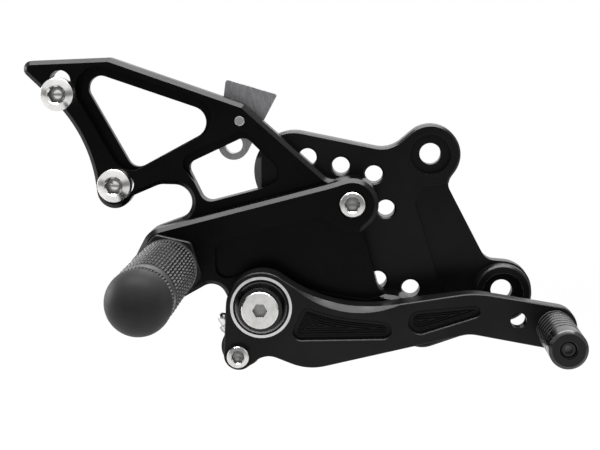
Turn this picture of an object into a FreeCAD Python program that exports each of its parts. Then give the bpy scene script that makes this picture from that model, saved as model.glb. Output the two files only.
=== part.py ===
import FreeCAD, Part
import math
import os
import Sketcher

# Right-hand rear set of a motorcycle: frame plate, hanger plate with foot peg, brake lever.
# X points to the front of the motorcycle and Z up. Depths count outward, toward -Y, from the
# back face of the frame plate. The origin is the upper frame bolt's hole on that back face.

DOCUMENT_NAME = "rear_set"

# Alias, value in mm (degrees where the alias says angle), meaning.
SIZES = [
    ("plate_thickness", 10.0, "frame plate"),
    ("ear_radius", 12.0, "ears of the frame plate"),
    ("ear_bore_radius", 4.3, "clearance for an M8 frame bolt"),
    ("ear_sink_radius", 8.2, "sinks for the frame bolt heads"),
    ("upper_sink_depth", 4.0, "sink of the upper ear"),
    ("lower_ear_x", 29.4, "lower ear from the upper one"),
    ("lower_ear_z", -55.3, "lower ear from the upper one"),
    ("lower_ear_rise", 4.0, "raised boss of the lower ear"),
    ("lower_boss_radius", 11.4, "raised boss of the lower ear"),
    ("lower_sink_depth", 8.0, "sink of the lower ear"),
    ("rear_lobe_x", -54.7, "rear lobe of the frame plate"),
    ("rear_lobe_z", -7.0, "rear lobe of the frame plate"),
    ("rear_lobe_radius", 16.2, "rear lobe of the frame plate"),
    ("rear_facet_width", 3.2, "slanted facet at the rear of the frame plate, where widest"),
    ("adjuster_lobe_radius", 10.6, "plate edge round the lower adjuster holes"),
    ("plate_bevel", 0.8, "front edges of the frame plate"),
    ("web_recess_depth", 3.0, "recess between the ears"),
    ("upper_bolt_x", -31.0, "upper hanger bolt"),
    ("upper_bolt_z", -18.5, "upper hanger bolt"),
    ("bolt_step_x", 15.1, "lower hanger bolt from the upper one"),
    ("bolt_step_z", -46.2, "lower hanger bolt from the upper one"),
    ("column_step_x", 13.3, "adjuster holes, step along a row"),
    ("column_step_z", -3.4, "adjuster holes, step along a row"),
    ("row_step_x", -4.9, "adjuster holes, step to the row above"),
    ("row_step_z", 13.8, "adjuster holes, step to the row above"),
    ("adjuster_radius", 3.6, "adjuster holes"),
    ("adjuster_bevel", 0.6, "adjuster holes"),
    ("hanger_thickness", 16.5, "hanger plate"),
    ("hanger_bevel", 1.6, "front edges of the hanger plate"),
    ("hanger_boss_radius", 10.3, "bosses round the hanger bolts"),
    ("boss_land_radius", 10.8, "full height left round a hanger bolt"),
    ("web_pocket_depth", 3.0, "pocket in the hanger plate"),
    ("arm_thickness", 8.5, "rear arm of the hanger plate"),
    ("arm_bevel", 1.6, "front edges of the rear arm"),
    ("rear_ledge_depth", 5.0, "ledge round the rear window"),
    ("front_ledge_depth", 3.0, "ledge round the front window"),
    ("peg_x", -104.0, "foot peg axis"),
    ("peg_z", -44.0, "foot peg axis"),
    ("peg_block_radius", 13.4, "block that carries the foot peg"),
    ("pivot_x", -66.0, "brake lever pivot"),
    ("pivot_z", -57.0, "brake lever pivot"),
    ("pivot_boss_radius", 12.2, "boss behind the lever hub"),
    ("rear_slot_x", -147.0, "upright slot in the rear arm"),
    ("rear_slot_z", 24.3, "lower end of the upright slot"),
    ("rear_slot_length", 5.1, "between the ends' centres"),
    ("lobe_slot_x", -125.1, "level slot in the rear arm"),
    ("lobe_slot_z", -11.6, "level slot in the rear arm"),
    ("lobe_slot_length", 2.8, "between the ends' centres"),
    ("slot_radius", 4.2, "half the width of the slots"),
    ("thread_gap", 0.05, "radial gap left for a thread or a light fit"),
    ("running_gap", 0.06, "radial gap of a turning fit"),
    ("press_gap", 0.01, "radial gap left at a dowel"),
    ("m_eight_radius", 4.0, "M8 shank"),
    ("m_eight_head_radius", 6.5, "M8 socket head"),
    ("m_eight_head_height", 8.0, "M8 socket head"),
    ("m_eight_socket_flats", 6.0, "M8 socket head"),
    ("rear_screw_reach", 4.0, "rear screws past the back of the frame plate"),
    ("undercut_lead", 0.6, "thread run-out of the rear screws, behind the arm"),
    ("undercut_width", 1.0, "thread run-out of the rear screws"),
    ("undercut_radius", 3.4, "thread run-out of the rear screws"),
    ("m_six_radius", 3.0, "M6 shank"),
    ("m_six_head_radius", 5.0, "M6 socket head"),
    ("m_six_head_height", 6.0, "M6 socket head"),
    ("m_six_socket_flats", 5.0, "M6 socket head"),
    ("m_six_nut_flats", 10.0, "M6 nut across flats"),
    ("m_six_nut_height", 5.0, "M6 nut"),
    ("hanger_bolt_reach", 1.5, "hanger bolts past their nuts"),
    ("m_five_radius", 2.5, "M5 shank"),
    ("m_five_head_radius", 4.25, "M5 socket head"),
    ("m_five_head_height", 5.0, "M5 socket head"),
    ("m_five_socket_flats", 4.0, "M5 socket head"),
    ("m_five_nut_flats", 8.0, "M5 nut across flats"),
    ("m_five_nut_height", 4.0, "M5 nut"),
    ("head_sink_gap", 0.5, "radial gap round a sunk head"),
    ("hanger_sink_depth", 5.2, "sinks of the hanger bolts"),
    ("lever_gap", 1.5, "between hanger plate and lever"),
    ("lever_thickness", 12.0, "brake lever"),
    ("lever_relief", 5.0, "the lever gets thinner at its back, toward the toe"),
    ("lever_relief_x", -7.0, "where it starts to get thinner"),
    ("lever_relief_run", 31.0, "length over which it does"),
    ("lever_bevel", 0.4, "front edges of the lever"),
    ("crest_flank_width", 1.35, "slanted edge of the lever's hollow top side, where widest"),
    ("crest_flank_offset", 19.6, "that edge's axis from the hollow's own"),
    ("crest_flank_turn_angle", -98.0, "direction in which that edge is widest"),
    ("hub_radius", 13.7, "lever hub"),
    ("lever_pocket_depth", 3.0, "pockets in the lever's face"),
    ("lever_pocket_bevel", 0.4, "edges of those pockets"),
    ("lever_pocket_step", 1.2, "shelf round the deeper floor of those pockets"),
    ("lever_floor_depth", 0.6, "deeper floor below that shelf"),
    ("arm_screw_x", -74.8, "push rod screw on the lever"),
    ("arm_screw_z", -76.0, "push rod screw on the lever"),
    ("arm_end_radius", 5.8, "lever end round that screw"),
    ("arm_sink_radius", 5.2, "spot face round that screw"),
    ("arm_sink_depth", 1.0, "spot face round that screw"),
    ("toe_x", 47.0, "toe peg axis"),
    ("toe_z", -64.2, "toe peg axis"),
    ("spare_toe_x", 33.1, "second place for the toe peg"),
    ("spare_toe_z", -61.3, "second place for the toe peg"),
    ("toe_end_radius", 8.4, "lever end round the toe peg"),
    ("toe_peg_radius", 7.2, "toe peg"),
    ("toe_peg_length", 40.0, "toe peg"),
    ("toe_groove_depth", 1.0, "ring grooves of the toe peg"),
    ("toe_groove_pitch", 4.4, "ring grooves of the toe peg"),
    ("toe_groove_count", 7, "ring grooves of the toe peg"),
    ("toe_groove_width", 1.85, "ring grooves of the toe peg"),
    ("toe_groove_start", 1.4, "first ring groove from the lever"),
    ("toe_peg_bevel", 1.2, "outer end of the toe peg"),
    ("toe_screw_depth", 1.5, "toe peg screw below the peg's end"),
    ("toe_sink_gap", 0.25, "radial gap round the screw at that end"),
    ("toe_socket_flats", 3.0, "hexagon socket of the toe peg screw"),
    ("foot_peg_radius", 12.0, "foot peg barrel"),
    ("foot_peg_length", 75.7, "foot peg to the equator of its cap"),
    ("peg_collar_flats", 25.0, "hexagonal collar at the foot peg's root"),
    ("peg_collar_turn_angle", -12.2, "that collar from a flat on top"),
    ("peg_collar_thickness", 2.5, "that collar"),
    ("peg_collar_corner", 2.0, "rounding of that collar's corners"),
    ("peg_neck_radius", 10.3, "neck behind the barrel"),
    ("peg_neck_length", 2.2, "neck behind the barrel"),
    ("peg_rim_length", 1.0, "smooth rim next to the cap"),
    ("peg_ring_length", 2.2, "knurled ring behind that rim"),
    ("peg_groove_length", 2.0, "smooth groove behind that ring"),
    ("peg_groove_depth", 0.5, "smooth groove behind that ring"),
    ("peg_thread_depth", 24.0, "tapped hole of the foot peg"),
    ("peg_bolt_reach", 20.0, "its bolt inside that hole"),
    ("cap_radius", 11.9, "round cap of the foot peg"),
    ("cap_spigot_radius", 6.0, "spigot of the cap"),
    ("cap_spigot_length", 8.0, "spigot of the cap"),
    ("bearing_radius", 12.0, "lever bearings outside"),
    ("outer_race_wall", 1.15, "outer race"),
    ("inner_race_radius", 7.6, "inner race outside"),
    ("sleeve_radius", 6.0, "pivot sleeve"),
    ("sleeve_flange_radius", 8.0, "flange of the pivot sleeve"),
    ("seal_recess", 1.0, "seal below the race's face"),
    ("seal_thickness", 1.0, "bearing seal"),
    ("pivot_washer_gap", 0.2, "between lever and conical washer"),
    ("pivot_washer_radius", 10.2, "conical washer, next to the lever"),
    ("pivot_washer_rim", 0.6, "straight rim of that washer"),
    ("pivot_washer_top_radius", 8.4, "conical washer, under the bolt's head"),
    ("pivot_washer_thickness", 5.0, "conical washer"),
    ("pivot_head_radius", 7.2, "low head of the pivot bolt"),
    ("pivot_head_height", 1.8, "low head of the pivot bolt"),
    ("pivot_head_bevel", 0.4, "low head of the pivot bolt"),
    ("pivot_bolt_depth", 15.5, "pivot bolt inside the hanger plate"),
    ("pivot_socket_flats", 5.0, "hexagon socket of the pivot bolt"),
    ("pivot_socket_depth", 2.6, "hexagon socket of the pivot bolt"),
    ("tip_bevel", 0.5, "tips of the screws"),
    ("stop_radius", 2.0, "stop pin"),
    ("stop_distance", 21.0, "stop pin from the pivot"),
    ("stop_angle", -10.0, "stop pin below the level line"),
    ("stop_reach", 3.5, "stop pin inside the lever"),
    ("stop_seat", 7.0, "stop pin inside the hanger plate"),
    ("lever_travel_angle", 10.0, "lever stroke that the stop leaves"),
    ("tab_thickness", 5.5, "hose tab behind the arm"),
    ("tab_eye_x", -78.9, "eye of the tab"),
    ("tab_eye_z", 3.8, "eye of the tab"),
    ("tab_eye_radius", 3.65, "eye of the tab"),
    ("tab_end_radius", 6.2, "tab round its eye"),
    ("tab_screw_x", -75.8, "screw of the tab"),
    ("tab_screw_z", 13.7, "screw of the tab"),
    ("tab_groove_radius", 0.55, "half the width of the tab's slanted grooves"),
    ("tab_groove_depth", 0.5, "the tab's slanted grooves"),
    ("tab_screw_radius", 2.3, "screw of the tab"),
    ("tab_head_radius", 4.0, "screw of the tab"),
    ("tab_head_height", 4.0, "screw of the tab"),
    ("rod_eye_radius", 8.3, "push rod end"),
    ("rod_eye_thickness", 6.0, "push rod end"),
    ("rod_ball_radius", 5.5, "ball of the push rod end"),
    ("rod_ball_width", 8.0, "ball of the push rod end"),
    ("rod_spacer_length", 4.0, "between lever and ball"),
    ("rod_spacer_radius", 3.6, "spacer at the ball"),
    ("rod_spacer_root_radius", 4.2, "spacer at the lever"),
    ("arm_screw_reach", 1.0, "push rod screw past its nut"),
    ("rod_angle", 124.0, "direction of the push rod from the X axis"),
    ("rod_nut_flats", 7.0, "lock nut across flats"),
    ("rod_neck_radius", 3.4, "neck of the push rod end"),
    ("rod_nut_start", 8.6, "lock nut from the eye's centre"),
    ("rod_nut_end", 11.0, "lock nut from the eye's centre"),
    ("rod_stud_radius", 2.5, "push rod stud"),
    ("rod_stud_end", 15.7, "stud's tip from the eye's centre"),
]


class Sizes:
    """The sheet's values as attributes, read once the sheet is filled."""

    def __init__(self, sheet):
        for alias, _, _ in SIZES:
            setattr(self, alias, float(sheet.get(alias)))


def fill_sheet(doc):
    """Write every driving dimension to the sheet, with its alias and meaning."""
    sheet = doc.addObject("Spreadsheet::Sheet", "Sizes")
    for row, (alias, value, meaning) in enumerate(SIZES, start=1):
        sheet.set(f"A{row}", alias)
        sheet.set(f"B{row}", str(value))
        sheet.setAlias(f"B{row}", alias)
        sheet.set(f"C{row}", meaning)
    doc.recompute()
    return sheet


def point(x, z):
    return FreeCAD.Vector(x, z, 0)


# Outlines


def fitted(corners):
    """Shorten an inward corner's radius where it would reach its neighbour's circle."""
    room = 0.05
    result = [list(corner) for corner in corners]
    count = len(result)
    for index in range(count):
        for other in (index - 1, (index + 1) % count):
            x, z, radius = result[index]
            other_x, other_z, other_radius = result[other]
            if radius < 0 < other_radius:
                free = math.hypot(other_x - x, other_z - z) - other_radius - room
                result[index][2] = -min(-radius, free)
    return result


def belt(corners):
    """Closed outline of straight runs and arcs round corner circles, counter-clockwise.

    A corner is x, z and radius. A negative radius bends inward, and zero is a sharp corner.
    """
    corners = fitted(corners)
    count = len(corners)
    runs = []
    for index in range(count):
        x1, z1, r1 = corners[index]
        x2, z2, r2 = corners[(index + 1) % count]
        span = math.hypot(x2 - x1, z2 - z1)
        heading = math.atan2(z2 - z1, x2 - x1) - math.asin((r2 - r1) / span)
        side = (-math.sin(heading), math.cos(heading))
        start = point(x1 - r1 * side[0], z1 - r1 * side[1])
        end = point(x2 - r2 * side[0], z2 - r2 * side[1])
        runs.append((heading, start, end))
    edges = []
    for index in range(count):
        x, z, radius = corners[index]
        arrive = runs[index - 1][0]
        leave = runs[index][0]
        turn = (leave - arrive) % (2 * math.pi)
        circle = Part.Circle(point(x, z), FreeCAD.Vector(0, 0, 1), abs(radius) or 1)
        if radius > 0:
            first = arrive - math.pi / 2
            edges.append(Part.ArcOfCircle(circle, first, first + turn))
        elif radius < 0:
            last = arrive + math.pi / 2
            edges.append(Part.ArcOfCircle(circle, last + turn - 2 * math.pi, last))
        edges.append(Part.LineSegment(runs[index][1], runs[index][2]))
    return edges


def rounded(vertices):
    """Turn a polygon's vertices, each with its own rounding, into a belt's corners."""
    corners = []
    count = len(vertices)
    for index in range(count):
        x, z, radius = vertices[index]
        before = vertices[index - 1]
        after = vertices[(index + 1) % count]
        back = math.atan2(before[1] - z, before[0] - x)
        ahead = math.atan2(after[1] - z, after[0] - x)
        opening = (back - ahead) % (2 * math.pi)
        reach = radius / math.sin(opening / 2)
        middle = ahead + opening / 2
        corners.append((x + reach * math.cos(middle), z + reach * math.sin(middle), radius))
    return corners


def polygon(points):
    """Straight edges through the points, closed."""
    ends = [point(x, z) for x, z in points]
    return [Part.LineSegment(a, b) for a, b in zip(ends, ends[1:] + ends[:1])]


def hexagon_corners(flats, turn=0.0):
    """Corners of a regular hexagon by its width across flats, turned from a flat on top."""
    reach = flats / math.sqrt(3)
    angles = [math.radians(60 * step + turn) for step in range(6)]
    return [(reach * math.cos(angle), reach * math.sin(angle)) for angle in angles]


def hexagon(flats):
    """Regular hexagon with a flat on top."""
    return polygon(hexagon_corners(flats))


def slot(x, z, length, upright, radius):
    """Two half rounds joined by straight sides, from the first end's centre."""
    far = (x, z + length) if upright else (x + length, z)
    return belt([(x, z, radius), (far[0], far[1], radius)])


def arc_slot(x, z, distance, half_width, first, last):
    """Slot that follows a circle round x, z between two directions in degrees."""
    first = math.radians(first)
    last = math.radians(last)
    axis = FreeCAD.Vector(0, 0, 1)
    centre = point(x, z)
    near = point(x + distance * math.cos(first), z + distance * math.sin(first))
    far = point(x + distance * math.cos(last), z + distance * math.sin(last))
    return [
        Part.ArcOfCircle(Part.Circle(centre, axis, distance + half_width), first, last),
        Part.ArcOfCircle(Part.Circle(far, axis, half_width), last, last + math.pi),
        Part.ArcOfCircle(Part.Circle(centre, axis, distance - half_width), first, last),
        Part.ArcOfCircle(Part.Circle(near, axis, half_width), first - math.pi, first),
    ]


# Features


def base_plane(body, role):
    return next(plane for plane in body.Origin.OriginFeatures if plane.Role == role)


def sketch_on(body, name, role, edges=()):
    """Sketch on one of the body's own base planes."""
    sketch = body.newObject("Sketcher::SketchObject", name)
    sketch.AttachmentSupport = [(base_plane(body, role), "")]
    sketch.MapMode = "FlatFace"
    for edge in edges:
        sketch.addGeometry(edge, False)
    return sketch


def face_sketch(body, name, front, edges=()):
    """Sketch parallel to the plates, its depth bound to the sheet."""
    sketch = sketch_on(body, name, "XZ_Plane", edges)
    sketch.setExpression("AttachmentOffset.Base.z", front)
    return sketch


def add_circle(sketch, x, z, radius):
    """Circle whose centre and radius follow the sheet."""
    index = sketch.addGeometry(Part.Circle(point(0, 0), FreeCAD.Vector(0, 0, 1), 1), False)
    for kind, first, second, value in (
        ("DistanceX", -1, 1, x),
        ("DistanceY", -1, 1, z),
    ):
        place = sketch.addConstraint(Sketcher.Constraint(kind, first, second, index, 3, 0))
        sketch.setExpression(f"Constraints[{place}]", value)
    place = sketch.addConstraint(Sketcher.Constraint("Radius", index, 1))
    sketch.setExpression(f"Constraints[{place}]", radius)


def add_pad(body, name, sketch, depth):
    pad = body.newObject("PartDesign::Pad", name)
    pad.Profile = sketch
    pad.setExpression("Length", depth)
    return pad


def add_pocket(body, name, sketch, depth=None, from_back=False):
    """Cut inward from the sketch, or through everything where no depth is given."""
    pocket = body.newObject("PartDesign::Pocket", name)
    pocket.Profile = sketch
    if depth is None:
        pocket.Type = "ThroughAll"
    else:
        pocket.setExpression("Length", depth)
    pocket.Reversed = from_back
    return pocket


def add_bores(body, name, front, circles, depth=None, from_back=False):
    """Round pockets, each given by x, z and radius in the sheet's terms."""
    sketch = face_sketch(body, name + "_sketch", front)
    for x, z, radius in circles:
        add_circle(sketch, x, z, radius)
    return add_pocket(body, name, sketch, depth, from_back)


def in_plane(shape, front):
    """Flat faces of the shape that lie at this depth."""
    near = 1e-4
    faces = []
    for face in shape.Faces:
        box = face.BoundBox
        if abs(box.YMin + front) < near and abs(box.YMax + front) < near:
            faces.append(face)
    return faces


def edge_names(shape, edges):
    names = []
    for index, edge in enumerate(shape.Edges, start=1):
        if any(edge.isSame(other) for other in edges):
            names.append(f"Edge{index}")
    return names


def outer_rim(shape, front):
    """Edges round the largest flat face at a depth."""
    return max(in_plane(shape, front), key=lambda face: face.Area).OuterWire.Edges


def inner_rims(shape, front, smallest, largest):
    """Edges of the openings at a depth whose width lies between two sizes."""
    edges = []
    for face in in_plane(shape, front):
        for wire in face.Wires:
            width = max(wire.BoundBox.XLength, wire.BoundBox.ZLength)
            if smallest < width < largest and not wire.isSame(face.OuterWire):
                edges.extend(wire.Edges)
    return edges


def add_bevel(body, name, size, pick):
    """Chamfer the edges that pick finds on the body as it stands."""
    body.Document.recompute()
    tip = body.Tip
    bevel = body.newObject("PartDesign::Chamfer", name)
    bevel.Base = (tip, edge_names(tip.Shape, pick(tip.Shape)))
    bevel.setExpression("Size", size)
    return bevel


def new_body(doc, label, x=None, z=None):
    """Body named after its piece, placed on its axis where it has one."""
    body = doc.addObject("PartDesign::Body", label)
    body.Label = label
    if x is not None:
        body.setExpression(".Placement.Base.x", x)
        body.setExpression(".Placement.Base.z", z)
    return body


def add_turned(body, name, profile):
    """Turn a profile of radius and depth pairs, or edges, about the body's own Y axis."""
    edges = profile
    if isinstance(profile[0], tuple):
        edges = polygon([(radius, -depth) for radius, depth in profile])
    sketch = sketch_on(body, name + "_sketch", "XY_Plane", edges)
    turned = body.newObject("PartDesign::Revolution", name)
    turned.Profile = sketch
    turned.ReferenceAxis = (sketch, ["V_Axis"])
    turned.Angle = 360
    return turned


def add_turned_cut(body, name, x, z, profile):
    """Cut with a profile of radius and depth pairs, or edges, turned about x, z."""
    edges = profile
    if isinstance(profile[0], tuple):
        edges = polygon([(radius, -depth) for radius, depth in profile])
    sketch = sketch_on(body, name + "_sketch", "XY_Plane", edges)
    sketch.AttachmentOffset = FreeCAD.Placement(FreeCAD.Vector(x, 0, z), FreeCAD.Rotation())
    cut = body.newObject("PartDesign::Groove", name)
    cut.Profile = sketch
    cut.ReferenceAxis = (sketch, ["V_Axis"])
    cut.Angle = 360
    return cut


def add_socket(body, name, front, flats, depth):
    """Hexagon socket in a screw head at the given depth."""
    sketch = sketch_on(body, name + "_sketch", "XZ_Plane", hexagon(flats))
    sketch.AttachmentOffset = FreeCAD.Placement(FreeCAD.Vector(0, 0, front), FreeCAD.Rotation())
    socket = body.newObject("PartDesign::Pocket", name)
    socket.Profile = sketch
    socket.Length = depth
    return socket


# Fasteners


def cap_screw(doc, label, place, seat, shank, head, tip, flats, undercut=()):
    """Socket head screw: the head stands outward from its seat, the shank ends at tip.

    An undercut is the depth where the thread runs out, its width and its radius.
    """
    radius, height = head
    edge = 0.06 * radius
    body = new_body(doc, label, *place)
    waist = []
    if undercut:
        start, width, core = undercut
        waist = [(shank, start), (core, start), (core, start + width), (shank, start + width)]
    profile = [
        (0, tip),
        (shank - edge, tip),
        (shank, tip + edge),
        *waist,
        (shank, seat),
        (radius, seat),
        (radius, seat + height - 2 * edge),
        (radius - 2 * edge, seat + height),
        (0, seat + height),
    ]
    add_turned(body, "turned", profile)
    add_socket(body, "socket", seat + height, flats, 0.5 * height)
    return body


def hex_nut(doc, label, place, back, flats, height, bore):
    """Hexagon nut with its inner face at a depth."""
    body = new_body(doc, label, *place)
    sketch = sketch_on(body, "flats_sketch", "XZ_Plane", hexagon(flats))
    sketch.AttachmentOffset = FreeCAD.Placement(FreeCAD.Vector(0, 0, back), FreeCAD.Rotation())
    nut = body.newObject("PartDesign::Pad", "flats")
    nut.Profile = sketch
    nut.Length = height
    hole = sketch_on(body, "bore_sketch", "XZ_Plane")
    hole.addGeometry(Part.Circle(point(0, 0), FreeCAD.Vector(0, 0, 1), bore), False)
    hole.AttachmentOffset = FreeCAD.Placement(
        FreeCAD.Vector(0, 0, back + height), FreeCAD.Rotation()
    )
    add_pocket(body, "bore", hole)
    return body


# Plates


def adjuster_grid(s, x, z):
    """Six adjuster holes round a hanger bolt: its own row and the row above."""
    holes = []
    for row in (0, 1):
        for column in (-1, 0, 1):
            across = x + column * s.column_step_x + row * s.row_step_x
            up = z + column * s.column_step_z + row * s.row_step_z
            holes.append((f"{across} mm", f"{up} mm", "Sizes.adjuster_radius"))
    return holes


def build_frame_plate(doc, s):
    """Plate that bolts to the motorcycle frame at its two ears."""
    lower_bolt_x = s.upper_bolt_x + s.bolt_step_x
    lower_bolt_z = s.upper_bolt_z + s.bolt_step_z
    body = new_body(doc, "frame_plate")
    outline = belt([
        (0, 0, s.ear_radius),
        (-19.6, 14.2, -11.5),
        (s.rear_lobe_x, s.rear_lobe_z, s.rear_lobe_radius),
        (lower_bolt_x - s.column_step_x, lower_bolt_z - s.column_step_z, s.adjuster_lobe_radius),
        (lower_bolt_x + s.column_step_x, lower_bolt_z + s.column_step_z, s.adjuster_lobe_radius),
        (s.lower_ear_x, s.lower_ear_z, s.ear_radius),
        (s.lower_ear_x - 2.8, s.lower_ear_z + 18.3, -6.0),
        (12.7, -12.0, -5.3),
    ])
    add_pad(body, "plate", face_sketch(body, "plate_sketch", "0 mm", outline),
            "Sizes.plate_thickness")
    add_bevel(body, "plate_edge", "Sizes.plate_bevel",
              lambda shape: outer_rim(shape, s.plate_thickness))
    rear = s.rear_lobe_x - s.rear_lobe_radius
    facet = polygon([
        (rear + s.rear_facet_width, -s.plate_thickness),
        (rear - 1.0, -s.plate_thickness),
        (rear - 1.0, 1.0 + s.rear_facet_width - s.plate_thickness),
    ])
    corner = add_pocket(body, "rear_facet",
                        sketch_on(body, "rear_facet_sketch", "XY_Plane", facet))
    corner.Midplane = True
    land = s.ear_radius + 0.5
    tip = 1.5
    near = land + tip + 0.1
    slant = math.radians(-98)
    recess = belt([
        (24.0, -9.0, 0),
        (0, 0, -land),
        (near * math.cos(slant), near * math.sin(slant), tip),
        (-3.4, -19.4, 2.7),
        (9.8, -55.0, 4.5),
        (s.lower_ear_x + 16.0, s.lower_ear_z - 6.0, 0),
        (s.lower_ear_x + 16.0, s.lower_ear_z + 30.0, 0),
    ])
    add_pocket(body, "web_recess",
               face_sketch(body, "web_recess_sketch", "Sizes.plate_thickness", recess),
               "Sizes.web_recess_depth")
    boss = face_sketch(body, "lower_ear_sketch", "0 mm")
    add_circle(boss, "Sizes.lower_ear_x", "Sizes.lower_ear_z", "Sizes.lower_boss_radius")
    add_pad(body, "lower_ear", boss, "Sizes.plate_thickness + Sizes.lower_ear_rise")
    add_bevel(body, "lower_ear_edge", "Sizes.plate_bevel",
              lambda shape: outer_rim(shape, s.plate_thickness + s.lower_ear_rise))
    grid = adjuster_grid(s, s.upper_bolt_x, s.upper_bolt_z)
    grid += adjuster_grid(s, lower_bolt_x, lower_bolt_z)
    add_bores(body, "adjuster_holes", "Sizes.plate_thickness", grid)
    add_bevel(body, "adjuster_edges", "Sizes.adjuster_bevel",
              lambda shape: inner_rims(shape, s.plate_thickness, 6.0, 9.0))
    ears = [("0 mm", "0 mm"), ("Sizes.lower_ear_x", "Sizes.lower_ear_z")]
    fronts = ["Sizes.plate_thickness", "Sizes.plate_thickness + Sizes.lower_ear_rise"]
    depths = ["Sizes.upper_sink_depth", "Sizes.lower_sink_depth"]
    for name, (x, z), front, depth in zip(("upper", "lower"), ears, fronts, depths):
        add_bores(body, name + "_bore", front, [(x, z, "Sizes.ear_bore_radius")])
        add_bores(body, name + "_sink", front, [(x, z, "Sizes.ear_sink_radius")], depth)
    return body


def build_hanger_plate(doc, s):
    """One billet: bar, bolt bosses, peg block and the thinner rear arm with its windows."""
    lower_bolt = (s.upper_bolt_x + s.bolt_step_x, s.upper_bolt_z + s.bolt_step_z)
    heel = (s.peg_x - 1.6, s.peg_z + 7.3, 8.6)
    boss = s.hanger_boss_radius
    body = new_body(doc, "hanger_plate")
    back = "Sizes.plate_thickness"
    arm = belt([
        (s.upper_bolt_x, s.upper_bolt_z, boss),
        (s.upper_bolt_x - 7.5, s.upper_bolt_z + 15.1, -6.0),
        (s.tab_screw_x, s.tab_screw_z + 3.9, 3.0),
        (s.rear_slot_x + 19.1, s.rear_slot_z + 11.2, 3.0),
        (s.rear_slot_x - 11.4, s.rear_slot_z + 9.7, 3.2),
        (s.rear_slot_x - 44.3, s.rear_slot_z - 43.8, -58.3),
        (s.lobe_slot_x - 0.9, s.lobe_slot_z - 2.7, 7.1),
        (s.lobe_slot_x + 7.0, s.lobe_slot_z - 5.5, -1.0),
        (s.peg_x - 2.4, s.peg_z + 25.4, -7.0),
        (s.peg_x + 2.0, s.peg_z + 25.3, -7.0),
        heel,
        (s.peg_x + 5.0, s.peg_z + 1.0, 5.0),
        (s.upper_bolt_x - 5.0, s.upper_bolt_z - 15.0, 3.0),
    ])
    add_pad(body, "arm", face_sketch(body, "arm_sketch", back, arm), "Sizes.arm_thickness")
    arm_front = s.plate_thickness + s.arm_thickness
    add_bevel(body, "arm_edge", "Sizes.arm_bevel", lambda shape: outer_rim(shape, arm_front))
    add_arm_windows(body, s)
    bar = belt([
        (s.upper_bolt_x, s.upper_bolt_z, boss),
        (s.upper_bolt_x - 10.3, s.upper_bolt_z + 10.7, -3.0),
        heel,
        (s.peg_x, s.peg_z, s.peg_block_radius),
        (s.peg_x + 17.4, s.peg_z - 12.4, -6.0),
        (s.pivot_x, s.pivot_z, s.pivot_boss_radius),
        (lower_bolt[0], lower_bolt[1], boss),
        (lower_bolt[0] - 1.2, lower_bolt[1] + 14.6, -4.0),
        (s.upper_bolt_x + 7.3, s.upper_bolt_z - 11.2, -3.0),
    ])
    add_pad(body, "bar", face_sketch(body, "bar_sketch", back, bar), "Sizes.hanger_thickness")
    front = s.plate_thickness + s.hanger_thickness
    add_bevel(body, "bar_edge", "Sizes.hanger_bevel", lambda shape: outer_rim(shape, front))
    add_web_pocket(body, s, lower_bolt)
    add_hanger_holes(body, s)
    return body


def add_arm_windows(body, s):
    """Two through windows, each with a ledge cut from the front.

    Their corners hang on the slots, screws and peg beside them.
    """
    arm_front = "Sizes.plate_thickness + Sizes.arm_thickness"
    rear_opening = [
        (s.rear_slot_x + 4.8, s.rear_slot_z + 10.9, 5.0),
        (s.lobe_slot_x + 6.6, s.lobe_slot_z + 5.0, 4.7),
        (s.tab_screw_x - 4.3, s.tab_screw_z + 0.6, 6.3),
    ]
    rear_ledge = [
        (s.rear_slot_x - 4.5, s.rear_slot_z + 17.9, 9.0),
        (s.lobe_slot_x + 2.7, s.lobe_slot_z + 2.7, 8.0),
        (s.tab_screw_x + 1.0, s.tab_screw_z + 3.0, 8.0),
    ]
    front_opening = [
        (s.peg_x + 6.7, s.peg_z + 40.3, 3.5),
        (s.peg_x + 14.2, s.peg_z + 24.9, 4.5),
        (s.upper_bolt_x - 24.9, s.upper_bolt_z + 8.4, 5.5),
        (s.tab_screw_x + 2.1, s.tab_screw_z - 6.2, 4.0),
    ]
    front_ledge = [
        (s.peg_x + 3.0, s.peg_z + 42.4, 4.5),
        (s.peg_x + 16.0, s.peg_z + 25.8, 4.0),
        (s.upper_bolt_x - 24.3, s.upper_bolt_z + 8.8, 5.6),
        (s.tab_screw_x + 1.8, s.tab_screw_z - 3.1, 4.5),
    ]
    for name, opening, ledge in (("rear", rear_opening, rear_ledge),
                                 ("front", front_opening, front_ledge)):
        sketch = face_sketch(body, name + "_ledge_sketch", arm_front, belt(rounded(ledge)))
        add_pocket(body, name + "_ledge", sketch, f"Sizes.{name}_ledge_depth")
        sketch = face_sketch(body, name + "_window_sketch", arm_front, belt(rounded(opening)))
        add_pocket(body, name + "_window", sketch)


def add_web_pocket(body, s, lower_bolt):
    """Shallow pocket between the bar, the bosses and the lower rim, open to the front."""
    land = s.boss_land_radius
    pocket = belt([
        (s.pivot_x - 13.8, s.pivot_z + 19.7, 5.2),
        (s.pivot_x - 14.4, s.pivot_z + 13.5, 4.6),
        (s.pivot_x, s.pivot_z, -s.pivot_boss_radius - 1.0),
        (s.pivot_x + 16.6, s.pivot_z + 7.2, 2.5),
        (lower_bolt[0] - 9.3, lower_bolt[1] + 10.4, 2.0),
        (lower_bolt[0], lower_bolt[1], -land),
        (lower_bolt[0] + 10.0, lower_bolt[1] + 13.0, 0),
        (s.upper_bolt_x + 19.0, s.upper_bolt_z - 9.0, 0),
        (s.upper_bolt_x, s.upper_bolt_z, -land),
        (s.upper_bolt_x - 13.0, s.upper_bolt_z - 7.7, 3.0),
    ])
    front = "Sizes.plate_thickness + Sizes.hanger_thickness"
    add_pocket(body, "web_pocket", face_sketch(body, "web_pocket_sketch", front, pocket),
               "Sizes.web_pocket_depth")


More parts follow.
